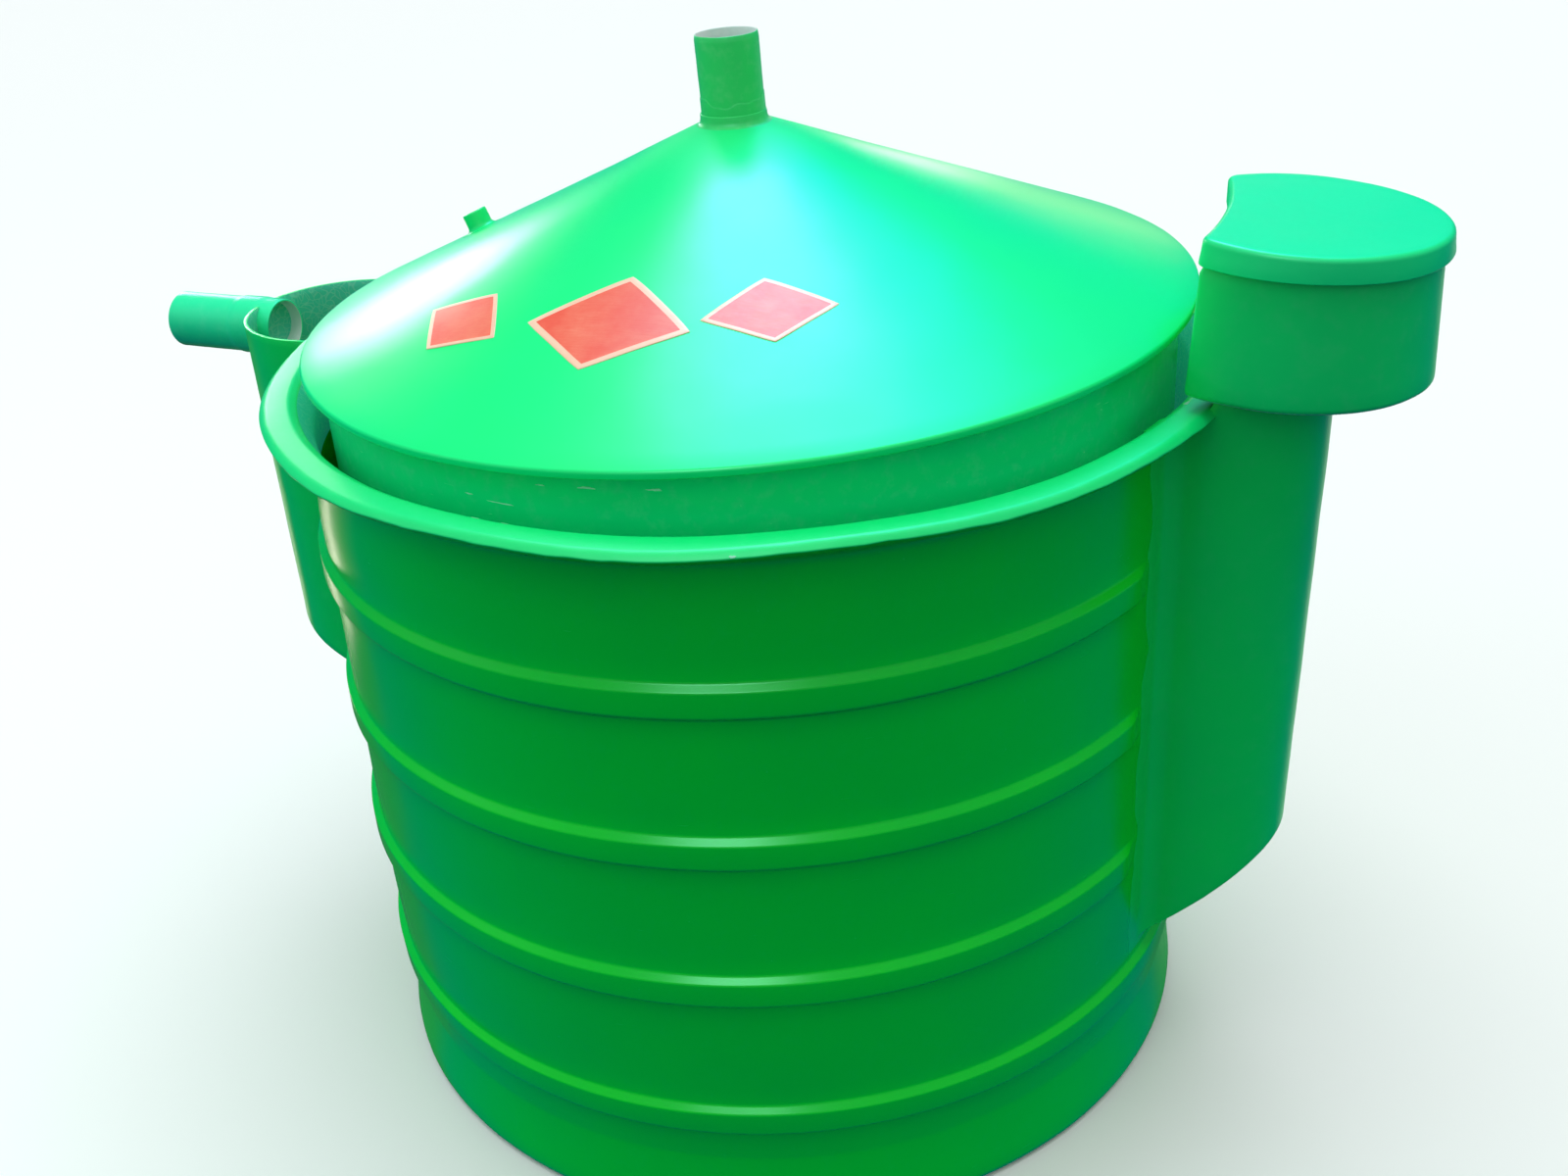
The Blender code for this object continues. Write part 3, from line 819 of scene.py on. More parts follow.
@dataclass
class TankShell:
    """Round tank: flat underside, hoop ribs and a turned-out rim, all one moulding."""

    radius: float = 0.550
    wall: float = 0.006
    floor: float = 0.008
    foot_rounding: float = 0.014
    foot_flare: float = 0.012
    flare_top: float = 0.100
    rim_foot: float = 0.905
    rim_underside: float = 0.930
    rim_lip: float = 0.938
    rim_corners: tuple[Corner, ...] = ((0.5700, 0.9240, 0.014), (0.5950, 0.9285, 0.006),
                                       (0.5995, 0.9325, 0.0012), (0.6035, 0.9365, 0.0020),
                                       (0.5960, 0.9440, 0.012), (0.5680, 0.9454, 0.008),
                                       (0.5595, 0.9400, 0.006), (0.5440, 0.9080, 0.030))
    rim_wave: float = 0.0020
    waves_round_rim: float = 9.0
    ragged_edge: float = 0.0012
    rib_heights: tuple[float, ...] = (0.184, 0.383, 0.575, 0.767)
    rib_depth: float = 0.0090
    rib_section: tuple[Corner, ...] = ((-0.0405, 0.0, 0.004), (-0.0343, 1.0, 0.006),
                                       (-0.0030, 1.0, 0.004), (0.0045, 0.0, 0.005))
    inlet_fade: Point = (14.5, 18.5)
    outlet_fade: Point = (17.0, 21.0)
    windows: tuple[tuple[int, float, float], ...] = ((1, 0.225, 0.420), (-1, 0.430, 0.620))
    window_half_angle: float = math.radians(9.0)
    window_rounding: float = 0.012
    steps: int = 330
    longest_run: float = 0.022

    def section(self) -> list[Corner]:
        """Return the shell's section: underside, ribbed wall, rolled rim and inside.

        Returns:
            The section's corners, in order.
        """
        corners: list[Corner] = [
            (0.0, 0.0, 0.0), (self.radius + self.foot_flare, 0.0, self.foot_rounding),
            (self.radius, self.flare_top, 0.060)]
        for height in self.rib_heights:
            corners += [(self.radius + share * self.rib_depth, height + rise, rounding)
                        for rise, share, rounding in self.rib_section]
        return [*corners, (self.radius, self.rim_foot, 0.020), *self.rim_corners,
                (self.radius - self.wall, self.floor, self.foot_rounding), (0.0, self.floor, 0.0)]

    def wave_rim(self, places: Places) -> Places:
        """Let the rim sag and rise a little, with a roughly trimmed outer edge.

        Args:
            places: Vertex coordinates.

        Returns:
            The new coordinates.
        """
        grain = 38.0
        radius = np.hypot(places[:, 0], places[:, 1])
        angle = np.arctan2(places[:, 1], places[:, 0])
        front = 0.6 + 0.4 * np.cos(angle + 1.2)
        out = smoothstep(radius, 0.560, 0.602)
        wave = np.cos(self.waves_round_rim * (angle + math.radians(78.0)))
        sag = self.rim_wave * (0.45 + 0.75 * out) * front * wave
        edge = smoothstep(radius, 0.594, 0.600)
        ragged = np.array([noise.noise(Vector((grain * r * math.cos(a), grain * r * math.sin(a), 0.0)))
                           if e > 0.0 else 0.0 for r, a, e in zip(radius, angle, edge)])
        places[:, 2] += smoothstep(places[:, 2], 0.915, 0.930) * (self.ragged_edge * edge * ragged - sag)
        return places

    def fade_ribs(self, places: Places) -> Places:
        """Let each rib run out into the wall before it meets a duct.

        Args:
            places: Vertex coordinates.

        Returns:
            The new coordinates.
        """
        below = 0.06
        radius = np.hypot(places[:, 0], places[:, 1])
        angle = np.degrees(np.abs(np.arctan2(places[:, 1], places[:, 0])))
        ribbed = (radius > self.radius + 1e-5) & (places[:, 2] < self.rim_foot - below)
        keep = np.ones(len(places))
        for rib, share in ((self.rib_heights[1], smoothstep(angle, *self.inlet_fade)),
                           (self.rib_heights[2], smoothstep(180.0 - angle, *self.outlet_fade))):
            keep = np.where(ribbed & (places[:, 2] > rib - below), keep * share, keep)
        target = self.radius + (radius - self.radius) * keep
        places[:, :2] *= np.where(ribbed, target / np.maximum(radius, 1e-6), 1.0)[:, None]
        return places

    def window_cutter(self, side: int, low: float, high: float) -> Piece:
        """Return a block that cuts a window with rounded corners behind a duct.

        Args:
            side: 1 on the inlet's side, -1 on the outlet's.
            low: The window's lower edge.
            high: Its upper edge.

        Returns:
            The block, in object mode.
        """
        clear_selection()
        depth, width = 0.06, 2.0 * self.radius * math.sin(self.window_half_angle)
        bpy.ops.mesh.primitive_cube_add(size=1.0, location=(side * self.radius, 0.0, 0.5 * (low + high)),
                                        scale=(depth, width, high - low))
        block = named("window_cutter")
        select_edges(block, lambda edge: abs(edge.verts[0].co.x - edge.verts[1].co.x) > 0.01)
        bpy.ops.mesh.bevel(offset=self.window_rounding, segments=4, affect="EDGES")
        bpy.ops.object.mode_set(mode="OBJECT")
        return block

    def face_finish(self, centre: Vector, normal: Vector) -> int:
        """Return the number of a face's finish: 0 on the wall, 1 inside (faintly glowing, painted
        light), 2 on the rim's upper faces (a paler green, painted light from above).

        Args:
            centre: The face's centre.
            normal: The face's normal.

        Returns:
            The number.
        """
        reach = off_axis(centre)
        facing = (normal.x * centre.x + normal.y * centre.y) / reach
        under_lip = facing < -0.2 and self.rim_foot < centre.z < self.rim_lip
        inside = reach < self.radius - 0.5 * self.wall or under_lip
        if inside and centre.z > 0.5 * self.floor:
            return 1
        # Upward faces of the rim take the paler finish, painted light where light from above falls on
        # the roll.
        return 2 if centre.z > self.rim_underside and normal.z > -0.3 else 0

    def build(self, finishes: Finishes) -> None:
        """Model the shell and dress it.

        Args:
            finishes: The plant's finishes.
        """
        shell = turned("tank_shell", self.section(), 5, self.longest_run, self.steps, closed=False)
        for rule in (self.fade_ribs, self.wave_rim, swell):
            moved(shell, rule)
        for window in self.windows:
            cut_away(shell, self.window_cutter(*window))
        hand_laid(shell, feature=0.16, height=0.0016)
        # The inside glows faintly and the rim's top is painted paler: both are painted light.
        share_out(shell, self.face_finish, finishes.wall, finishes.tank_inside, finishes.rim)
        dress(shell, Body.TANK, Slot.WALL)
        walls = [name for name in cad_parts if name.startswith(("wall_", "rib_"))]
        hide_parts("tank_floor", "tank_rim", *walls)


@dataclass
class SideDuct:
    """Half-round shell laminated onto the tank's wall, with a slanted foot and a thin flange.

    The laminate flows off the wall, over the duct and back, which no primitive gives, so a
    grid is laid over it: its columns run round the duct and its rows run down it and in under
    the foot.
    """

    name: str
    nodes: tuple[str, ...]
    side: int
    centre: float
    radius: float
    top: float
    top_at_rim: float
    foot_at_wall: float
    foot_slope: float
    tank_radius: float = 0.550
    proud: float = 0.0007
    feather: float = 0.0013
    thickness: float = 0.005
    foot_rounding: float = 0.022
    foot_fillet: float = 0.012
    flank_fillet: float = 0.021
    flange: float = 0.032
    below_foot: float = 0.021
    taper: float = 0.0
    foot_lift: float = 0.0
    rim_span: Point = (0.588, 0.604)
    foot_spread: float = 0.004
    spread_reach: float = 0.020
    wall_landing: float = 0.0125
    flank_run: float = 0.006
    fillet_strips: int = 7
    flange_strips: int = 6
    fray: float = 0.10
    edge_rounding: float = 0.0012
    round_columns: int = 56
    rows: tuple[int, ...] = (46, 6, 10, 5, 4)

    def half_section(self) -> tuple[list[Point], int]:
        """Return half the plan from the duct's middle to the flange's edge.

        Returns:
            The points, and how many of them come before the flange.
        """
        wall = self.tank_radius + self.proud
        tangent = math.asin(self.radius / self.centre)
        touch = Vector(polar(self.centre * math.cos(tangent), tangent))
        end = math.atan2(touch.y, touch.x - self.centre)
        section = arc((self.centre, 0.0), (self.radius, self.radius), 0.0, end, self.round_columns // 2)
        lean = math.asin(self.flank_fillet / (wall + self.flank_fillet))
        middle = polar(wall + self.flank_fillet, tangent + lean)
        start_angle = tangent - math.pi / 2.0
        fillet = arc(middle, (self.flank_fillet, self.flank_fillet), start_angle,
                     tangent + lean - math.pi, self.fillet_strips)
        flank = divided([section[-1], fillet[0]], self.flank_run)[1:-1]
        section += flank + fillet
        inner_count = len(section)
        for index in range(1, self.flange_strips + 1):
            angle = tangent + lean + index / self.flange_strips * self.flange / wall
            section.append(polar(wall, angle))
        return section, inner_count

    def foot_height(self, reach: float) -> float:
        """Return the slanted foot's height at a distance out along X."""
        return self.foot_at_wall + self.foot_slope * (reach - self.tank_radius)

    def column(self, plan: Vector, landing: Vector) -> list[tuple[float, float]]:
        """Return one column's (share of the way to the landing, height) points.

        Args:
            plan: The column's point on the duct's section.
            landing: The point on the tank's wall that its foot runs in to.

        Returns:
            As many points as there are rows in every column.
        """
        reach = (plan - landing).length
        at_rim = 1.0 - float(smoothstep(plan.length, *self.rim_span))
        top = self.top + (self.top_at_rim - self.top) * at_rim
        spread = self.foot_spread * max(0.0, 1.0 - reach / self.spread_reach)
        lift = self.foot_lift * min(1.0, (plan.y / self.radius) ** 2)
        outer = self.foot_height(plan.x) + spread + lift
        inner = self.foot_height(max(landing.x, self.tank_radius - self.wall_landing)) - spread + lift
        under = math.hypot(reach, outer - inner)
        low_reach = reach * (1.0 - self.taper * (top - outer))
        corners = [Vector((reach, top)), Vector((low_reach, outer)), Vector((0.0, inner)),
                   Vector((0.0, self.foot_at_wall - self.below_foot + lift))]
        radii = (min(self.foot_rounding, 0.9 * under), min(self.foot_fillet, 0.9 * under))
        points: list[Point] = []
        start = corners[0]
        for number, radius in enumerate(radii):
            here = corners[number + 1]
            back = (corners[number] - here).normalized()
            ahead = (corners[number + 2] - here).normalized()
            turn = math.pi - back.angle(ahead, math.pi)
            limit = 0.45 * min((corners[number] - here).length, (corners[number + 2] - here).length)
            cut = min(radius * math.tan(0.5 * turn), limit) if turn > 1e-3 else limit * 0.5
            first, last = here + back * cut, here + ahead * cut
            straight, bend = self.rows[2 * number], self.rows[2 * number + 1]
            for index in range(straight):
                points.append(tuple(start.lerp(first, index / straight)))
            for index in range(bend):
                share = index / bend
                points.append(tuple((first.lerp(here, share)).lerp(here.lerp(last, share), share)))
            start = last
        for index in range(self.rows[4] + 1):
            points.append(tuple(start.lerp(corners[3], index / self.rows[4])))
        return [(1.0 - h / reach if reach > 1e-6 else 0.0, z) for h, z in points]

    def surface(self) -> Piece:
        """Return the duct's outer skin as an open grid.

        Returns:
            The skin, in object mode.
        """
        half, inner_count = self.half_section()
        plans = [Vector((x, -y)) for x, y in reversed(half[1:])] + [Vector(point) for point in half]
        wall = self.tank_radius + self.proud
        edge_angle = math.atan2(half[inner_count - 1][1], half[inner_count - 1][0])
        middle = len(half) - 1
        lengths = np.concatenate([[0.0], np.cumsum([math.dist(a, b) for a, b in zip(half, half[1:])])])
        columns, rows = len(plans) - 1, sum(self.rows)
        clear_selection()
        bpy.ops.mesh.primitive_grid_add(x_subdivisions=columns, y_subdivisions=rows, size=1.0)
        skin = named(self.name)
        bpy.ops.object.mode_set(mode="OBJECT")
        places = np.zeros((rows + 1, columns + 1, 3))
        for index, plan in enumerate(plans):
            step = abs(index - middle)
            if step < inner_count:
                angle = edge_angle * lengths[step] / lengths[inner_count - 1]
            else:
                angle = math.atan2(abs(plan.y), plan.x)
            angle = math.copysign(angle, index - middle)
            landing = Vector(polar(wall, angle))
            for row, (share, height) in enumerate(self.column(plan, landing)):
                spot = plan.lerp(landing, share)
                if step >= inner_count - 1:
                    frayed = self.fray * noise.noise(Vector((30.0 * height, self.centre * 9.0, angle)))
                    turn = frayed * (angle - math.copysign(edge_angle, angle))
                    out = (step - inner_count + 1) / (len(half) - inner_count)
                    spot = Vector(polar(wall - self.feather * out * out, angle + turn))
                places[row, index] = (self.side * spot.x, spot.y, height)
        moved(skin, lambda grid: places[np.rint((0.5 - grid[:, 1]) * rows).astype(int),
                                        np.rint((grid[:, 0] + 0.5) * columns).astype(int)])
        return skin

    def face_outwards(self, skin: Piece) -> None:
        """Turn the skin's faces away from the tank's axis where they point at it.

        Args:
            skin: The duct's skin.
        """
        widest = max(skin.data.polygons, key=lambda face: abs(face.center.x) - abs(face.center.y))
        if widest.normal.x * self.side < 0.0:
            select_only(skin)
            bpy.ops.object.mode_set(mode="EDIT")
            bpy.ops.mesh.select_all(action="SELECT")
            bpy.ops.mesh.flip_normals()
            bpy.ops.object.mode_set(mode="OBJECT")

    def build(self, finishes: Finishes) -> None:
        """Model the duct and dress it.

        Args:
            finishes: The plant's finishes.
        """
        duct = self.surface()
        self.face_outwards(duct)
        share_out(duct, lambda *_: 0, finishes.duct, finishes.inside, finishes.duct)
        moved(duct, swell)
        hand_laid(duct, feature=0.09, height=0.0014)
        apply_modifier(duct, "SOLIDIFY", thickness=self.thickness, offset=-1.0, use_even_offset=True,
                       material_offset=1, material_offset_rim=2)
        apply_modifier(duct, "BEVEL", width=self.edge_rounding, segments=2, limit_method="ANGLE",
                       angle_limit=math.radians(60.0))
        dress(duct, Body.TANK, Slot.DUCT)
        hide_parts(*self.nodes)


@dataclass
class CrescentOutline:
    """Plan of the hopper: a round outer side, and a hollow side that follows the gas holder."""

    centre: float = 0.6555
    radius: float = 0.145
    hollow: float = 0.5845
    corner: float = 0.010
    outer_steps: int = 72
    hollow_steps: int = 24
    corner_steps: int = 6

    def points(self, grow: float = 0.0) -> list[Point]:
        """Return the closed outline, grown outwards by a distance.

        Args:
            grow: How far the outline is grown.

        Returns:
            Its points, in order.
        """
        radius, hollow = self.radius + grow, self.hollow - grow
        corner = max(self.corner + grow, 0.002)
        near, far = radius - corner, hollow + corner
        along = (self.centre ** 2 + far ** 2 - near ** 2) / (2.0 * self.centre)
        across = math.sqrt(far ** 2 - along ** 2)
        outer_end = math.atan2(across, along - self.centre)
        inner_end = math.atan2(across, along)
        outline = arc((self.centre, 0.0), (radius, radius), -outer_end, outer_end, self.outer_steps)
        outline += arc((along, across), (corner, corner), outer_end, math.pi + inner_end,
                       self.corner_steps)[1:]
        outline += arc((0.0, 0.0), (hollow, hollow), inner_end, -inner_end, self.hollow_steps)[1:]
        outline += arc((along, -across), (corner, corner), math.pi - inner_end,
                       math.tau - outer_end, self.corner_steps)[1:-1]
        return outline

    def solid(self, name: str, rings: Sequence[Point]) -> Piece:
        """Extrude a flat face on the outline from ring to ring.

        Args:
            name: The new object's name.
            rings: (height, growth of the outline) of each ring, the first and last of them closed.

        Returns:
            The solid, in object mode, its faces pointing outwards.
        """
        height, grow = rings[0]
        outline = np.array(self.points(grow))
        clear_selection()
        bpy.ops.mesh.primitive_circle_add(vertices=len(outline), radius=self.radius,
                                          fill_type="NGON", location=(0.0, 0.0, height))
        piece = named(name)
        mesh = bmesh.from_edit_mesh(piece.data)
        mesh.verts.ensure_lookup_table()
        for vert, (x, y) in zip(mesh.verts, outline):
            vert.co = (x, y, height)
        bmesh.update_edit_mesh(piece.data)
        for next_height, next_grow in rings[1:]:
            bpy.ops.mesh.extrude_region_move(
                TRANSFORM_OT_translate={"value": (0.0, 0.0, next_height - height)})
            next_outline = np.array(self.points(next_grow))
            mesh = bmesh.from_edit_mesh(piece.data)
            for vert in (vert for vert in mesh.verts if vert.select):
                gaps = np.hypot(outline[:, 0] - vert.co.x, outline[:, 1] - vert.co.y)
                vert.co.x, vert.co.y = next_outline[int(gaps.argmin())]
            bmesh.update_edit_mesh(piece.data)
            height, outline = next_height, next_outline
        bpy.ops.mesh.select_all(action="SELECT")
        bpy.ops.mesh.normals_make_consistent(inside=False)
        bpy.ops.object.mode_set(mode="OBJECT")
        return piece


@dataclass
class FeedHopper:
    """Open feed box on top of the inlet duct, with its loose skirted lid."""

    plan: CrescentOutline = field(default_factory=CrescentOutline)
    bottom: float = 0.9575
    top: float = 1.1239
    wall: float = 0.004
    draw: float = 0.0035
    foot_rounding: float = 0.008
    lid_bottom: float = 1.101
    lid_top: float = 1.1285
    lid_grow: float = 0.009
    lid_plate: float = 0.004
    lid_rounding: float = 0.006
    hole_centre: float = 0.600
    hole_radius: float = 0.1015
    lean: Point = (0.014, -0.061)
    rise: float = 0.0062
    lean_centre: float = 0.64
    twist: float = math.radians(2.5)
    horn_foot: tuple[float, float, float] = (0.017, 0.006, 0.005)
    horn_head: tuple[float, float, float] = (0.010, 0.002, 0.0)
    round_stretch: Point = (0.011, 0.003)
    upright_edge: Point = (0.583, 0.114)
    horn_span: Point = (0.010, 0.070)

    def settle(self, places: Places) -> Places:
        """Make the hopper stand a little crooked, as it was laminated on.

        Args:
            places: Vertex coordinates of the box or its lid.

        Returns:
            The new coordinates.
        """
        share = np.clip((places[:, 2] - self.bottom) / (self.top - self.bottom), 0.0, 1.1)
        across, out = self.lean
        x, y = places[:, 0] - self.lean_centre, places[:, 1].copy()
        places[:, 0] -= share * self.twist * y
        places[:, 1] += share * (self.twist * x + 0.003)
        places[:, 2] += share * (self.rise + across * y + out * x)
        return places

    def spread(self, places: Places) -> Places:
        """Widen the box towards its foot, most of all at its two upright edges.

        Args:
            places: Vertex coordinates of the box.

        Returns:
            The new coordinates.
        """
        x, y, z = places.T.copy()
        up = np.clip((z - self.bottom) / (self.lid_bottom - self.bottom), 0.0, 1.0)
        bare = 1.0 - 0.8 * smoothstep(z, self.lid_bottom - 0.010, self.lid_bottom - 0.001)
        edge_x, edge_y = self.upright_edge
        near = 1.0 - smoothstep(np.hypot(x - edge_x, np.abs(y) - edge_y), *self.horn_span)
        reach = [near * bare * (foot * (1.0 - up) + head * up)
                 for foot, head in zip(self.horn_foot, self.horn_head)]
        stretch = bare * (self.round_stretch[0] * (1.0 - up) + self.round_stretch[1] * up)
        places[:, 0] += stretch * np.clip((x - 0.60) / 0.2, 0.0, 1.0) - reach[0]
        places[:, 1] += np.sign(y) * reach[1]
        places[:, 2] += reach[2]
        return places

    def box_rings(self) -> list[Point]:
        """Return the box's rings, from the middle of its underside round to its inner floor.

        Returns:
            (height, growth of the outline) of each ring.
        """
        corners: list[Corner] = [
            (self.bottom, -self.draw - 0.030, 0.0), (self.bottom, -self.draw, self.foot_rounding),
            (self.top, 0.0, 0.0012), (self.top, -self.wall, 0.0012),
            (self.bottom + self.wall, -self.draw - self.wall, 0.006),
            (self.bottom + self.wall, -self.draw - 0.030, 0.0)]
        return divided(rounded(corners, 5), 0.016)

    def box_face_finish(self, centre: Vector, _: Vector) -> int:
        """Return the number of a box face's finish: 0 outside, 1 inside.

        Args:
            centre: The face's centre.

        Returns:
            The number.
        """
        share = (centre.z - self.bottom) / (self.top - self.bottom)
        inset = self.draw * (1.0 - share) + 0.5 * self.wall
        off_centre = math.hypot(centre.x - self.plan.centre, centre.y)
        inward = off_centre < self.plan.radius - inset and off_axis(centre) > self.plan.hollow + inset
        return int(inward and centre.z > self.bottom + 0.5 * self.wall)

    def box(self, finishes: Finishes) -> None:
        """Model the box and cut its floor open over the duct.

        Args:
            finishes: The plant's finishes.
        """
        box = self.plan.solid("hopper_box", self.box_rings())
        hole = CrescentOutline(self.hole_centre, self.hole_radius, self.plan.hollow + 0.0065, 0.004)
        cut_away(box, hole.solid("hopper_hole", [(self.bottom - 0.02, 0.0), (self.bottom + 0.02, 0.0)]))
        share_out(box, self.box_face_finish, finishes.hopper, finishes.inside)
        moved(box, self.spread)
        moved(box, self.settle)
        hand_laid(box, feature=0.07, height=0.0014)
        dress(box, Body.TANK, Slot.DUCT)
        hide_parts("hopper_body")

    def lid_rings(self) -> list[Point]:
        """Return the lid's rings, from under its plate, round the skirt and over its top.

        Returns:
            (height, growth of the outline) of each ring.
        """
        under = self.lid_top - self.lid_plate
        corners: list[Corner] = [
            (under, -0.060, 0.0), (under, self.lid_grow - self.lid_plate, 0.005),
            (self.lid_bottom, self.lid_grow - self.lid_plate + 0.001, 0.0012),
            (self.lid_bottom, self.lid_grow + 0.001, 0.0014),
            (self.lid_top, self.lid_grow, self.lid_rounding), (self.lid_top, -0.105, 0.0)]
        return divided(rounded(corners, 6), 0.012)

    def lid(self, finishes: Finishes) -> None:
        """Model the lid with its thin, slightly uneven skirt.

        Args:
            finishes: The plant's finishes.
        """
        lid = self.plan.solid("loose_lid", self.lid_rings())
        moved(lid, self.flare_skirt)
        moved(lid, self.settle)
        hand_laid(lid, feature=0.08, height=0.0014)
        dress(lid, Body.HOPPER_LID, Slot.CONE, finishes.lid)
        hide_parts("hopper_lid")

    def flare_skirt(self, places: Places) -> Places:
        """Spread the skirt's lower edge a little, more on one side than on the other.

        Args:
            places: Vertex coordinates of the lid.

        Returns:
            The new coordinates.
        """
        middle = np.array([0.69, 0.0])
        low = 1.0 - smoothstep(places[:, 2], self.lid_bottom, self.lid_top - self.lid_rounding)
        away = places[:, :2] - middle
        length = np.maximum(np.hypot(away[:, 0], away[:, 1]), 1e-6)
        angle = np.arctan2(away[:, 1], away[:, 0])
        spread = 0.0012 + 0.0010 * np.sin(angle * 2.0 + 0.6) + 0.0006 * np.sin(angle * 5.0)
        places[:, :2] += away / length[:, None] * (low * spread)[:, None]
        return places

    def build(self, finishes: Finishes) -> None:
        """Model the box and the lid and dress them."""
        self.box(finishes)
        self.lid(finishes)


@dataclass
class OverflowPipe:
    """Short level pipe through the outlet chamber's outer side, sleeved in laminate."""

    radius: float = 0.039
    bore: float = 0.036
    height: float = 0.9045
    inner_end: float = -0.724
    outer_end: float = -0.900
    wall_at: float = -0.752
    sleeve: float = 0.0016
    steps: int = 72

    def section(self) -> list[Corner]:
        """Return the pipe's section, (radius, distance from its outer end, rounding).

        Returns:
            The section's corners, in order.
        """
        length = self.inner_end - self.outer_end
        at_wall = self.wall_at - self.outer_end
        sleeve = self.radius + self.sleeve
        return [(self.bore, 0.0, 0.0), (self.radius, 0.0, 0.0012), (self.radius, at_wall - 0.045, 0.004),
                (sleeve, at_wall - 0.036, 0.004), (sleeve, at_wall - 0.004, 0.004),
                (self.radius + 0.0005, at_wall + 0.006, 0.003), (self.radius, length, 0.0012),
                (self.bore, length, 0.0012), (self.bore, 0.5 * length, 0.0)]

    def build(self, finishes: Finishes) -> None:
        """Model the pipe upright, lay it along X and dress it.

        Args:
            finishes: The plant's finishes.
        """
        pipe = turned("overflow_spout", self.section(), 3, 0.012, self.steps)
        hand_laid(pipe, feature=0.045, height=0.0008)
        moved(pipe, lambda p: np.stack([self.outer_end + p[:, 2], p[:, 1], self.height - p[:, 0]], 1))
        middle = 0.5 * (self.radius + self.bore) - 0.0008
        share_out(pipe, lambda centre, _: math.hypot(centre.y, centre.z - self.height) < middle,
                  finishes.spout, finishes.pipe)
        dress(pipe, Body.TANK, Slot.CONE)
        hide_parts("overflow_pipe")


def hang_askew(places: Places) -> Places:
    """Tilt the gas holder's top a little, as the play round its guide pole lets it hang.

    Args:
        places: Vertex coordinates.

    Returns:
        The new coordinates.
    """
    slope, east, north, pivot = math.tan(math.radians(1.8)), 0.93, 0.37, 1.20
    share = smoothstep(places[:, 2], 0.55, 0.95)
    above = slope * np.maximum(places[:, 2] - pivot, 0.0)
    places[:, 2] += share * slope * (east * places[:, 0] + north * places[:, 1])
    places[:, 0] -= east * above
    places[:, 1] -= north * above
    return places


@dataclass
class HolderRoof:
    """Cone roof of the gas holder, its turned-down edge and its collar round the guide tube."""

    edge_radius: float = 0.547
    edge_top: float = 1.005
    edge_bottom: float = 0.9963
    slope: float = 0.406
    peak_lift: float = 0.0035
    lift_span: Point = (0.04, 0.32)
    soft_at: float = 0.18
    seam_drop: float = 0.0035
    seam_wave: float = 0.0015
    thickness: float = 0.005
    wall_radius: float = 0.525
    collar_radius: float = 0.0394
    collar_top: float = 1.226
    collar_bore: float = 0.0377
    steps: int = 320

    def height(self, radius: float) -> float:
        """Return the outer face's height at a radius."""
        lift = self.peak_lift * (1.0 - smoothstep(radius, *self.lift_span))
        return self.edge_top + self.slope * (self.edge_radius - radius) + lift

    def section(self) -> list[Corner]:
        """Return the roof's section from the collar's bore, over the cone and back inside.

        Returns:
            The section's corners, in order.
        """
        drop = self.thickness * math.hypot(1.0, self.slope)
        seat = self.wall_radius - 0.008
        return [(self.collar_bore, self.collar_top, 0.0), (self.collar_radius, self.collar_top, 0.001),
                (self.collar_radius + 0.0008, self.height(self.collar_radius), 0.013),
                (self.soft_at, self.height(self.soft_at), 0.20),
                (self.edge_radius, self.height(self.edge_radius), 0.0045),
                (self.edge_radius, self.edge_bottom, 0.002), (seat, self.edge_bottom, 0.002),
                (seat - 0.006, self.height(seat) - drop, 0.003),
                (self.collar_bore, self.height(self.collar_bore) - drop, 0.0)]

    def face_finish(self, centre: Vector, _: Vector) -> int:
        """Return the number of a face's finish: 0 on the cone, 1 inside, 2 on the collar.

        Args:
            centre: The face's centre.

        Returns:
            The number.
        """
        reach = off_axis(centre)
        wavy = self.seam_wave * math.sin(3.0 * math.atan2(centre.y, centre.x) + 1.0)
        below = centre.z < self.height(reach) - 0.5 * self.thickness
        if below and reach < self.wall_radius - 0.004:
            return 1
        return 2 if centre.z > self.height(self.collar_radius) - self.seam_drop + wavy else 0

    def build(self, finishes: Finishes) -> None:
        """Model the roof and dress it.

        Args:
            finishes: The plant's finishes.
        """
        roof = turned("cone_roof", self.section(), 7, 0.024, self.steps)
        hand_laid(roof, feature=0.20, height=0.0022)
        share_out(roof, self.face_finish, finishes.roof, finishes.inside, finishes.stub)
        moved(roof, hang_askew)
        dress(roof, Body.GAS_HOLDER, Slot.CONE)
        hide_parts("holder_roof")


@dataclass
class HolderWall:
    """Gas holder's upright wall, open below."""

    radius: float = 0.525
    thickness: float = 0.005
    bottom: float = 0.490
    top: float = 0.9960
    steps: int = 256

    def build(self, finishes: Finishes) -> None:
        """Model the wall, a little thicker at its foot, and dress it.

        Args:
            finishes: The plant's finishes.
        """
        inner, thick = self.radius - self.thickness, self.radius + 0.0004
        corners: list[Corner] = [
            (inner, 0.5 * (self.bottom + self.top), 0.0), (inner, self.bottom, 0.0015),
            (thick, self.bottom, 0.0015), (thick, self.bottom + 0.03, 0.004),
            (self.radius, self.bottom + 0.034, 0.004), (self.radius, self.top, 0.0),
            (inner, self.top, 0.0)]
        wall = turned("gas_holder_wall", corners, 4, 0.04, self.steps)
        hand_laid(wall, feature=0.18, height=0.0014)
        moved(wall, hang_askew)
        # The outer face takes the holder finish, painted paler for the shade in the gap.
        share_out(wall, lambda centre, _: off_axis(centre) < inner + 0.5 * self.thickness,
                  finishes.holder, finishes.inside)
        dress(wall, Body.GAS_HOLDER, Slot.WALL)
        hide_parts(*[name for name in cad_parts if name.startswith("holder_wall_")])


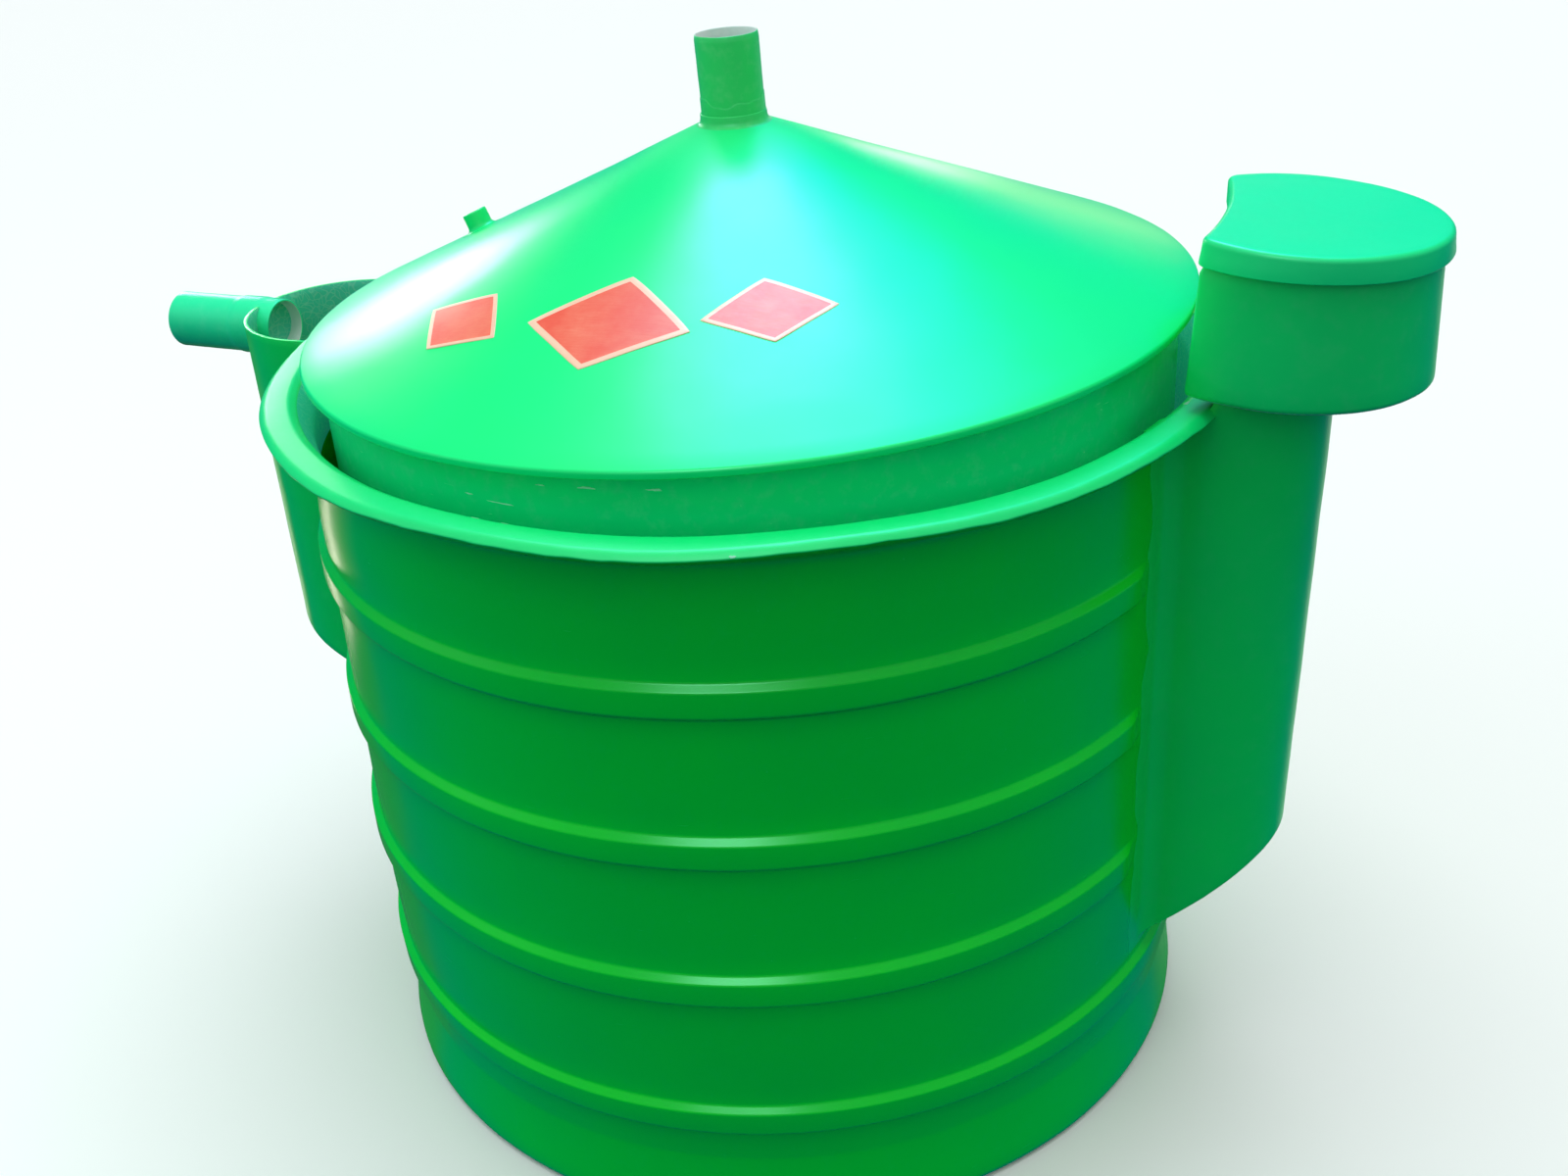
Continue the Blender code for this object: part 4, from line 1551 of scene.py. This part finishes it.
@dataclass
class GuideTube:
    """Open tube at the roof's peak: bare pipe inside, wrapped in wet mat outside."""

    radius: float = 0.0373
    bore: float = 0.0355
    bottom: float = 0.490
    top: float = 1.315
    roof_peak: float = 1.214
    wrap_height: float = 0.028
    mouth_height: float = 0.07
    oval: float = 0.018
    steps: int = 96

    def section(self) -> list[Corner]:
        """Return the tube's section, with the wrap's ragged overlap above the roof.

        Returns:
            The section's corners, in order.
        """
        wrap = self.radius + 0.0004
        return [(self.bore, self.bottom, 0.0), (self.radius, self.bottom, 0.001),
                (self.radius, self.roof_peak - 0.01, 0.002),
                (wrap + 0.0007, self.roof_peak + 0.002, 0.003),
                (wrap + 0.0006, self.roof_peak + 0.026, 0.0006),
                (wrap, self.roof_peak + self.wrap_height, 0.0006),
                (wrap, self.top - 0.006, 0.002), (self.radius - 0.0004, self.top, 0.0012),
                (self.bore, self.top, 0.0010), (self.bore, 0.5 * (self.bottom + self.top), 0.0)]

    def wrap(self, places: Places) -> Places:
        """Make the wrap's overlap ragged and the mouth slightly out of round.

        Args:
            places: Vertex coordinates.

        Returns:
            The new coordinates.
        """
        reach = np.hypot(places[:, 0], places[:, 1])
        angle = np.arctan2(places[:, 1], places[:, 0])
        above = smoothstep(places[:, 2], self.roof_peak, self.roof_peak + 0.02)
        below = 1.0 - smoothstep(places[:, 2], self.roof_peak + self.wrap_height, self.roof_peak + 0.05)
        outer = reach > 0.5 * (self.radius + self.bore)
        ragged = 0.0045 * np.sin(angle * 2.0 + 0.9)
        ragged = ragged + 0.0022 * np.sin(angle * 5.0) + 0.001 * np.sin(angle * 11.0)
        places[:, 2] += ragged * above * below * outer
        mouth = smoothstep(places[:, 2], self.top - self.mouth_height, self.top)
        places[:, :2] *= (1.0 + self.oval * mouth * np.cos(2.0 * angle + 0.5))[:, None]
        return places

    def build(self, finishes: Finishes) -> None:
        """Model the tube and dress it.

        Args:
            finishes: The plant's finishes.
        """
        tube = turned("peak_guide_tube", self.section(), 3, 0.012, self.steps)
        share_out(tube, lambda centre, _: off_axis(centre) < self.bore + 0.0006,
                  finishes.stub, finishes.pipe)
        moved(tube, self.wrap)
        hand_laid(tube, feature=0.028, height=0.0010)
        moved(tube, hang_askew)
        dress(tube, Body.GAS_HOLDER, Slot.DUCT)
        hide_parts("guide_tube")


@dataclass
class GasNozzle:
    """Short pipe socket square to the roof, with a fillet of wet laminate at its foot."""

    reach: float = 0.372
    radius: float = 0.016
    bore: float = 0.010
    tall: float = 0.024
    steps: int = 64

    def build(self, roof: HolderRoof, finishes: Finishes) -> None:
        """Model the nozzle upright, then set it square on the roof's slope.

        Args:
            roof: The roof that it stands on.
            finishes: The plant's finishes.
        """
        sunk, skirt = -0.001, self.radius + 0.012
        corners: list[Corner] = [
            (self.bore, 0.004, 0.0), (self.bore, sunk, 0.0), (skirt, sunk, 0.0),
            (skirt, 0.0006, 0.0005), (self.radius, 0.0012, 0.007), (self.radius, self.tall, 0.0018),
            (self.bore, self.tall, 0.0015), (self.bore, 0.012, 0.0)]
        nozzle = turned("roof_gas_nozzle", corners, 5, 0.006, self.steps)
        hand_laid(nozzle, feature=0.014, height=0.0007)
        tilt = math.atan(roof.slope)
        cos, sin = math.cos(tilt), math.sin(tilt)
        foot = roof.height(self.reach)
        moved(nozzle, lambda p: np.stack([p[:, 0] * cos - p[:, 2] * sin - self.reach, p[:, 1],
                                          p[:, 0] * sin + p[:, 2] * cos + foot], 1))
        moved(nozzle, hang_askew)
        # The nozzle takes the rim's paler finish, painted light from above.
        dress(nozzle, Body.GAS_HOLDER, Slot.DUCT, finishes.rim)
        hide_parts("gas_nozzle")


@dataclass
class RoofLozenge:
    """Raised lozenge on the cone, painted orange with a pale border."""

    name: str
    angle: float
    reach: float
    width: float
    length: float
    proud: float = 0.0018
    sunk: float = 0.0004
    border: float = 0.13
    soft_corners: float = 0.05
    cells: int = 32

    def lay(self, roof: HolderRoof, places: Places) -> Places:
        """Stand a square grid on its corner, round the corners and lay it on the cone.

        Args:
            roof: The roof that carries the lozenge.
            places: Grid coordinates, -0.5 to 0.5 both ways.

        Returns:
            The coordinates on the roof.
        """
        along, across = 2.0 * places[:, 0], 2.0 * places[:, 1]
        u = along * np.sqrt(1.0 - self.soft_corners * across ** 4)
        v = across * np.sqrt(1.0 - self.soft_corners * along ** 4)
        x, y = 0.25 * self.width * (u - v), 0.25 * self.length * (u + v)
        cos, sin = math.cos(math.radians(self.angle)), math.sin(math.radians(self.angle))
        out = self.reach + y / math.hypot(1.0, roof.slope)
        east, north = out * cos - x * sin, out * sin + x * cos
        return np.stack([east, north, roof.height(np.hypot(east, north)) - self.sunk], 1)

    def build(self, roof: HolderRoof, finishes: Finishes) -> None:
        """Model the lozenge and dress it.

        Args:
            roof: The roof that carries it.
            finishes: The plant's finishes.
        """
        clear_selection()
        bpy.ops.mesh.primitive_grid_add(x_subdivisions=self.cells, y_subdivisions=self.cells, size=1.0)
        lozenge = named(self.name)
        bpy.ops.object.mode_set(mode="OBJECT")
        inner = 0.5 - 0.5 * self.border
        share_out(lozenge, lambda centre, _: max(abs(centre.x), abs(centre.y)) > inner,
                  finishes.paint, finishes.border)
        moved(lozenge, lambda places: self.lay(roof, places))
        if lozenge.data.polygons[0].normal.z < 0.0:
            lozenge.data.flip_normals()
        apply_modifier(lozenge, "SOLIDIFY", thickness=self.proud, offset=1.0)
        apply_modifier(lozenge, "BEVEL", width=0.0007, segments=3, limit_method="ANGLE",
                       angle_limit=math.radians(50.0))
        moved(lozenge, hang_askew)
        dress(lozenge, Body.GAS_HOLDER, Slot.CONE)


@dataclass
class ChippedSpots:
    """Small pale spots where the gel-coat is chipped or scratched, each a thin film.

    A spot is its azimuth, its radius, its height, how long it is and how wide, in metres.
    Spots on a wall stand upright, and spots on the rim lie flat.
    """

    name: str
    surface: str
    body: Body
    lying: bool
    spots: tuple[tuple[float, float, float, float, float], ...]
    film: float = 0.0004
    edge_points: int = 22

    def spot(self, azimuth: float, radius: float, height: float, length: float, width: float) -> Piece:
        """Return one ragged flat spot, set near its place.

        Args:
            azimuth: Direction from the tank's axis, in degrees.
            radius: Distance from the tank's axis.
            height: Height above the ground.
            length: Size along the wall.
            width: Size across it.

        Returns:
            The spot.
        """
        clear_selection()
        bpy.ops.mesh.primitive_circle_add(vertices=self.edge_points, radius=0.5, fill_type="TRIFAN")
        patch = named(self.name)
        bpy.ops.object.mode_set(mode="OBJECT")

        def lay(places: Places) -> Places:
            """Give the disc its size, ragged edge and place."""
            angle = np.arctan2(places[:, 1], places[:, 0])
            ragged = 1.0 + 0.25 * np.sin(3.0 * angle + azimuth) + 0.15 * np.sin(7.0 * angle)
            along, across = places[:, 0] * ragged * length, places[:, 1] * ragged * width
            out = radius - (across if self.lying else 0.0)
            up = height + (0.0 if self.lying else across)
            bearing = math.radians(azimuth) + along / radius
            return np.stack([out * np.cos(bearing), out * np.sin(bearing), up + 0.0 * along], 1)

        moved(patch, lay)
        return patch

    def build(self, finishes: Finishes) -> None:
        """Model the spots, lay them on their surface and dress them.

        Args:
            finishes: The plant's finishes.
        """
        patches = [self.spot(*spot) for spot in self.spots]
        clear_selection()
        for patch in patches:
            patch.select_set(True)
        bpy.context.view_layer.objects.active = patches[0]
        bpy.ops.object.join()
        apply_modifier(patches[0], "SHRINKWRAP", target=bpy.data.objects[self.surface],
                       wrap_mode="ABOVE_SURFACE", offset=0.5 * self.film)
        apply_modifier(patches[0], "SOLIDIFY", thickness=self.film, offset=0.0)
        dress(patches[0], self.body, Slot.WALL, finishes.chipped)


@dataclass
class HiddenFittings:
    """Pole, its foot and the rest lugs: CAD nodes whose shape is right as it is."""

    def build(self, finishes: Finishes) -> None:
        """Give each node its finish.

        Args:
            finishes: The plant's finishes.
        """
        plan = {"guide_pole": (finishes.pipe, Slot.PIPE), "pole_foot": (finishes.inside, Slot.WALL)}
        plan.update({f"rest_lug_{number}": (finishes.inside, Slot.WALL) for number in range(1, 5)})
        for name, (finish, slot) in plan.items():
            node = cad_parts[name]
            node.data.materials.clear()
            node.data.materials.append(finish)
            log.info("%s: kept from the CAD", name)


# Studio


def direction(azimuth: float, elevation: float) -> Vector:
    """Return the unit vector at an azimuth and an elevation in degrees."""
    turn, rise = math.radians(azimuth), math.radians(elevation)
    return Vector((math.cos(rise) * math.cos(turn), math.cos(rise) * math.sin(turn), math.sin(rise)))


class Reach(Enum):
    """Which part of a surface's look a light gives."""

    COLOUR = "colour"
    SHINE = "shine"


def hung(name: str, light: bpy.types.Light, away: Vector, distance: float) -> Piece:
    """Hang a light over the plant, facing it.

    Args:
        name: The light's name.
        light: Its data.
        away: The way from the plant to the light.
        distance: How far it hangs from the plant's middle.

    Returns:
        The light's object, in the scene.
    """
    lamp = bpy.data.objects.new(name, light)
    bpy.context.scene.collection.objects.link(lamp)
    lamp.location = Vector((0.0, 0.0, 0.9)) + away * distance
    lamp.rotation_euler = away.to_track_quat("Z", "Y").to_euler()
    return lamp


@dataclass
class SoftLight:
    """One rectangular soft light, aimed at the plant."""

    name: str
    azimuth: float
    elevation: float
    distance: float
    size: Point
    brightness: float
    colour: str
    reach: Reach = Reach.SHINE

    def build(self) -> None:
        """Add the light to the scene, as bright as its face looks from the plant."""
        light = bpy.data.lights.new(self.name, "AREA")
        light.shape = "RECTANGLE"
        light.size, light.size_y = self.size
        light.energy = self.brightness * math.pi * self.size[0] * self.size[1]
        light.color = linear(self.colour)[:3]
        lamp = hung(self.name, light, direction(self.azimuth, self.elevation), self.distance)
        lamp.visible_camera = False
        lamp.visible_diffuse = self.reach is not Reach.SHINE
        lamp.visible_glossy = self.reach is not Reach.COLOUR


@dataclass
class Sun:
    """Soft daylight from a wide patch of sky, kept out of the shine."""

    name: str
    azimuth: float
    elevation: float
    strength: float
    width: float

    def build(self) -> None:
        """Add the daylight to the scene."""
        daylight = bpy.data.lights.new(self.name, "SUN")
        daylight.energy = self.strength
        daylight.angle = math.radians(self.width)
        lamp = hung(self.name, daylight, direction(self.azimuth, self.elevation), 0.0)
        lamp.visible_glossy = False


@dataclass
class Studio:
    """Pale floor, soft light, and a camera where the photographer stood."""

    floor_half: float = 30.0
    focal_pixels: float = 1686.72
    picture_width: int = 1600
    sensor_mm: float = 36.0
    camera_place: tuple[float, float, float] = (0.8179, -1.8159, 1.6338)
    look: tuple[float, float, float] = (-0.354318, 0.810775, -0.465943)
    right: tuple[float, float, float] = (0.926443, 0.372091, -0.057031)
    yard_colour: str = "#006cb0"
    paper_colour: str = "#f7fdfb"
    card_azimuth: float = 115.0
    card_distance: float = 20.0
    card_size: Point = (50.0, 34.0)
    card_middle: float = -22.0
    suns: tuple[Sun, ...] = (
        Sun("overhead_sun", 100.0, 82.0, 1.6, 60.0),
        Sun("sky_dome", 0.0, 90.0, 2.0, 178.0))
    soft_lights: tuple[SoftLight, ...] = (
        SoftLight("high_back_box", 117.0, 59.0, 14.0, (5.2, 2.6), 15.0, "#b8ecff"),
        SoftLight("high_side_box", 101.0, 59.0, 14.0, (7.5, 8.5), 9.0, "#00c8ff"),
        SoftLight("low_left_box", 142.0, 13.0, 6.0, (1.1, 1.1), 12.0, "#f4fffd"),
        SoftLight("low_back_box", 97.0, 4.0, 14.0, (3.7, 2.0), 1.6, "#ffe4a0"),
        SoftLight("low_back_spot", 101.0, 5.5, 14.0, (0.9, 0.9), 10.0, "#fff8f0"),
        SoftLight("low_right_glow", 85.0, 24.0, 14.0, (8.0, 6.0), 0.8, "#0098ff"),
        SoftLight("left_strip", 153.0, -24.0, 14.0, (0.8, 1.8), 6.0, "#fff2d8"),
        SoftLight("front_box", -82.0, 44.0, 3.6, (1.3, 1.2), 8.0, "#b0fff0"),
        SoftLight("right_bounce_box", 72.0, -24.0, 3.5, (2.0, 2.5), 0.8, "#e0ffe8"),
        SoftLight("left_fill_box", -150.0, 30.0, 3.5, (1.6, 1.6), 2.0, "#c8f8ff", Reach.COLOUR))

    def sheet(self, name: str, size: float, cuts: int, finish: Finish) -> Piece:
        """Lay a divided square that lights and shades nothing.

        Args:
            name: The new object's name.
            size: Its side.
            cuts: How many times each side is cut.
            finish: Its finish.

        Returns:
            The sheet, in object mode.
        """
        clear_selection()
        bpy.ops.mesh.primitive_plane_add(size=size)
        sheet = named(name)
        bpy.ops.mesh.subdivide(number_cuts=cuts)
        bpy.ops.object.mode_set(mode="OBJECT")
        sheet.data.materials.append(finish.material())
        sheet.visible_diffuse = False
        sheet.visible_shadow = False
        clear_selection()
        return sheet

    def add_floor(self) -> None:
        """Lay a wide pale floor."""
        floor = self.sheet("studio_floor", 2.0 * self.floor_half, 4, StudioFloor())
        floor.visible_glossy = False

    def add_lawn_card(self) -> None:
        """Hang a dim green card low behind the plant, seen only in the shine, as a lawn would be."""
        card = self.sheet("lawn_card", 1.0, 3, FarLawn())
        card.visible_camera = False
        wide, tall = self.card_size
        away = direction(self.card_azimuth, 0.0)
        along, up = Vector((-away.y, away.x, 0.0)), Vector((0.0, 0.0, 1.0))
        middle = away * self.card_distance + up * self.card_middle
        moved(card, lambda p: np.outer(p[:, 0] * wide, along) + np.outer(p[:, 1] * tall, up) + middle)

    def add_lights(self) -> None:
        """Light the plant from above, with soft boxes that give the shine its bright places."""
        for light in (*self.suns, *self.soft_lights):
            light.build()

    def add_yard(self) -> None:
        """Surround the plant with the yard that it mirrors, and show pale paper behind it."""
        world = bpy.data.worlds.new("blue_green_yard")
        bpy.context.scene.world = world
        world.use_nodes = True
        world.cycles_visibility.diffuse = False
        tree = world.node_tree
        seen = add_node(tree, "LightPath").outputs["Is Camera Ray"]
        shown = add_node(tree, "Mix", {
            SHARE: seen, COLOUR_A: linear(self.yard_colour), COLOUR_B: linear(self.paper_colour)},
            data_type="RGBA")
        fill(tree, tree.nodes["Background"], {"Color": shown.outputs[MIXED_COLOUR]})

    def add_camera(self) -> None:
        """Set the camera from its measured place and axes."""
        look, right = Vector(self.look).normalized(), Vector(self.right).normalized()
        up = right.cross(look).normalized()
        lens = bpy.data.cameras.new("photo_camera")
        lens.sensor_width = self.sensor_mm
        lens.lens = self.focal_pixels * self.sensor_mm / self.picture_width
        lens.clip_end = 200.0
        camera = bpy.data.objects.new("photo_camera", lens)
        bpy.context.scene.collection.objects.link(camera)
        rows = [(*row,) for row in zip(right, up, -look, self.camera_place)]
        camera.matrix_world = Matrix(rows + [(0.0, 0.0, 0.0, 1.0)])
        bpy.context.scene.camera = camera

    def build(self) -> None:
        """Set up the floor, the lights, the camera and plain colour handling."""
        self.add_floor()
        self.add_lawn_card()
        self.add_lights()
        self.add_yard()
        self.add_camera()
        bpy.context.scene.view_settings.view_transform = "Standard"


def main() -> None:
    """Build every sub-assembly in order, and log each piece."""
    logging.basicConfig(level=logging.INFO, format="%(name)s: %(message)s")
    Studio().build()
    finishes = Finishes()
    TankShell().build(finishes)
    SideDuct("feed_duct", ("inlet_duct", "inlet_foot"), side=1, centre=0.600, radius=0.1075,
             top=0.9575, top_at_rim=0.930, foot_at_wall=0.215, foot_slope=0.875,
             foot_rounding=0.014, taper=0.11, foot_lift=0.004).build(finishes)
    SideDuct("slurry_chamber", ("outlet_chamber",), side=-1, centre=0.617, radius=0.135,
             top=0.939, top_at_rim=0.928, foot_at_wall=0.4165, foot_slope=0.35).build(finishes)
    FeedHopper().build(finishes)
    OverflowPipe().build(finishes)
    roof = HolderRoof()
    roof.build(finishes)
    HolderWall().build(finishes)
    GuideTube().build(finishes)
    GasNozzle().build(roof, finishes)
    for number, sizes in enumerate(((-121.0, 0.385, 0.150, 0.105), (-91.0, 0.350, 0.200, 0.150),
                                    (-62.0, 0.340, 0.150, 0.105)), 1):
        RoofLozenge(f"roof_lozenge_{number}", *sizes).build(roof, finishes)
    ChippedSpots("holder_wall_chips", "gas_holder_wall", Body.GAS_HOLDER, lying=False, spots=(
        (-84.8, 0.5265, 0.973, 0.018, 0.0022), (-77.1, 0.5265, 0.974, 0.015, 0.0022),
        (-90.4, 0.5265, 0.971, 0.010, 0.0012), (-100.5, 0.5265, 0.947, 0.009, 0.0012),
        (-95.8, 0.5265, 0.9435, 0.030, 0.0011))).build(finishes)
    ChippedSpots("rim_chips", "tank_shell", Body.TANK, lying=True, spots=(
        (-92.7, 0.562, 0.9450, 0.006, 0.005), (-68.7, 0.602, 0.9380, 0.006, 0.005),
        (-9.8, 0.568, 0.9455, 0.008, 0.006), (-96.2, 0.564, 0.9450, 0.009, 0.003))).build(finishes)
    HiddenFittings().build(finishes)


if __name__ == "__main__":
    main()
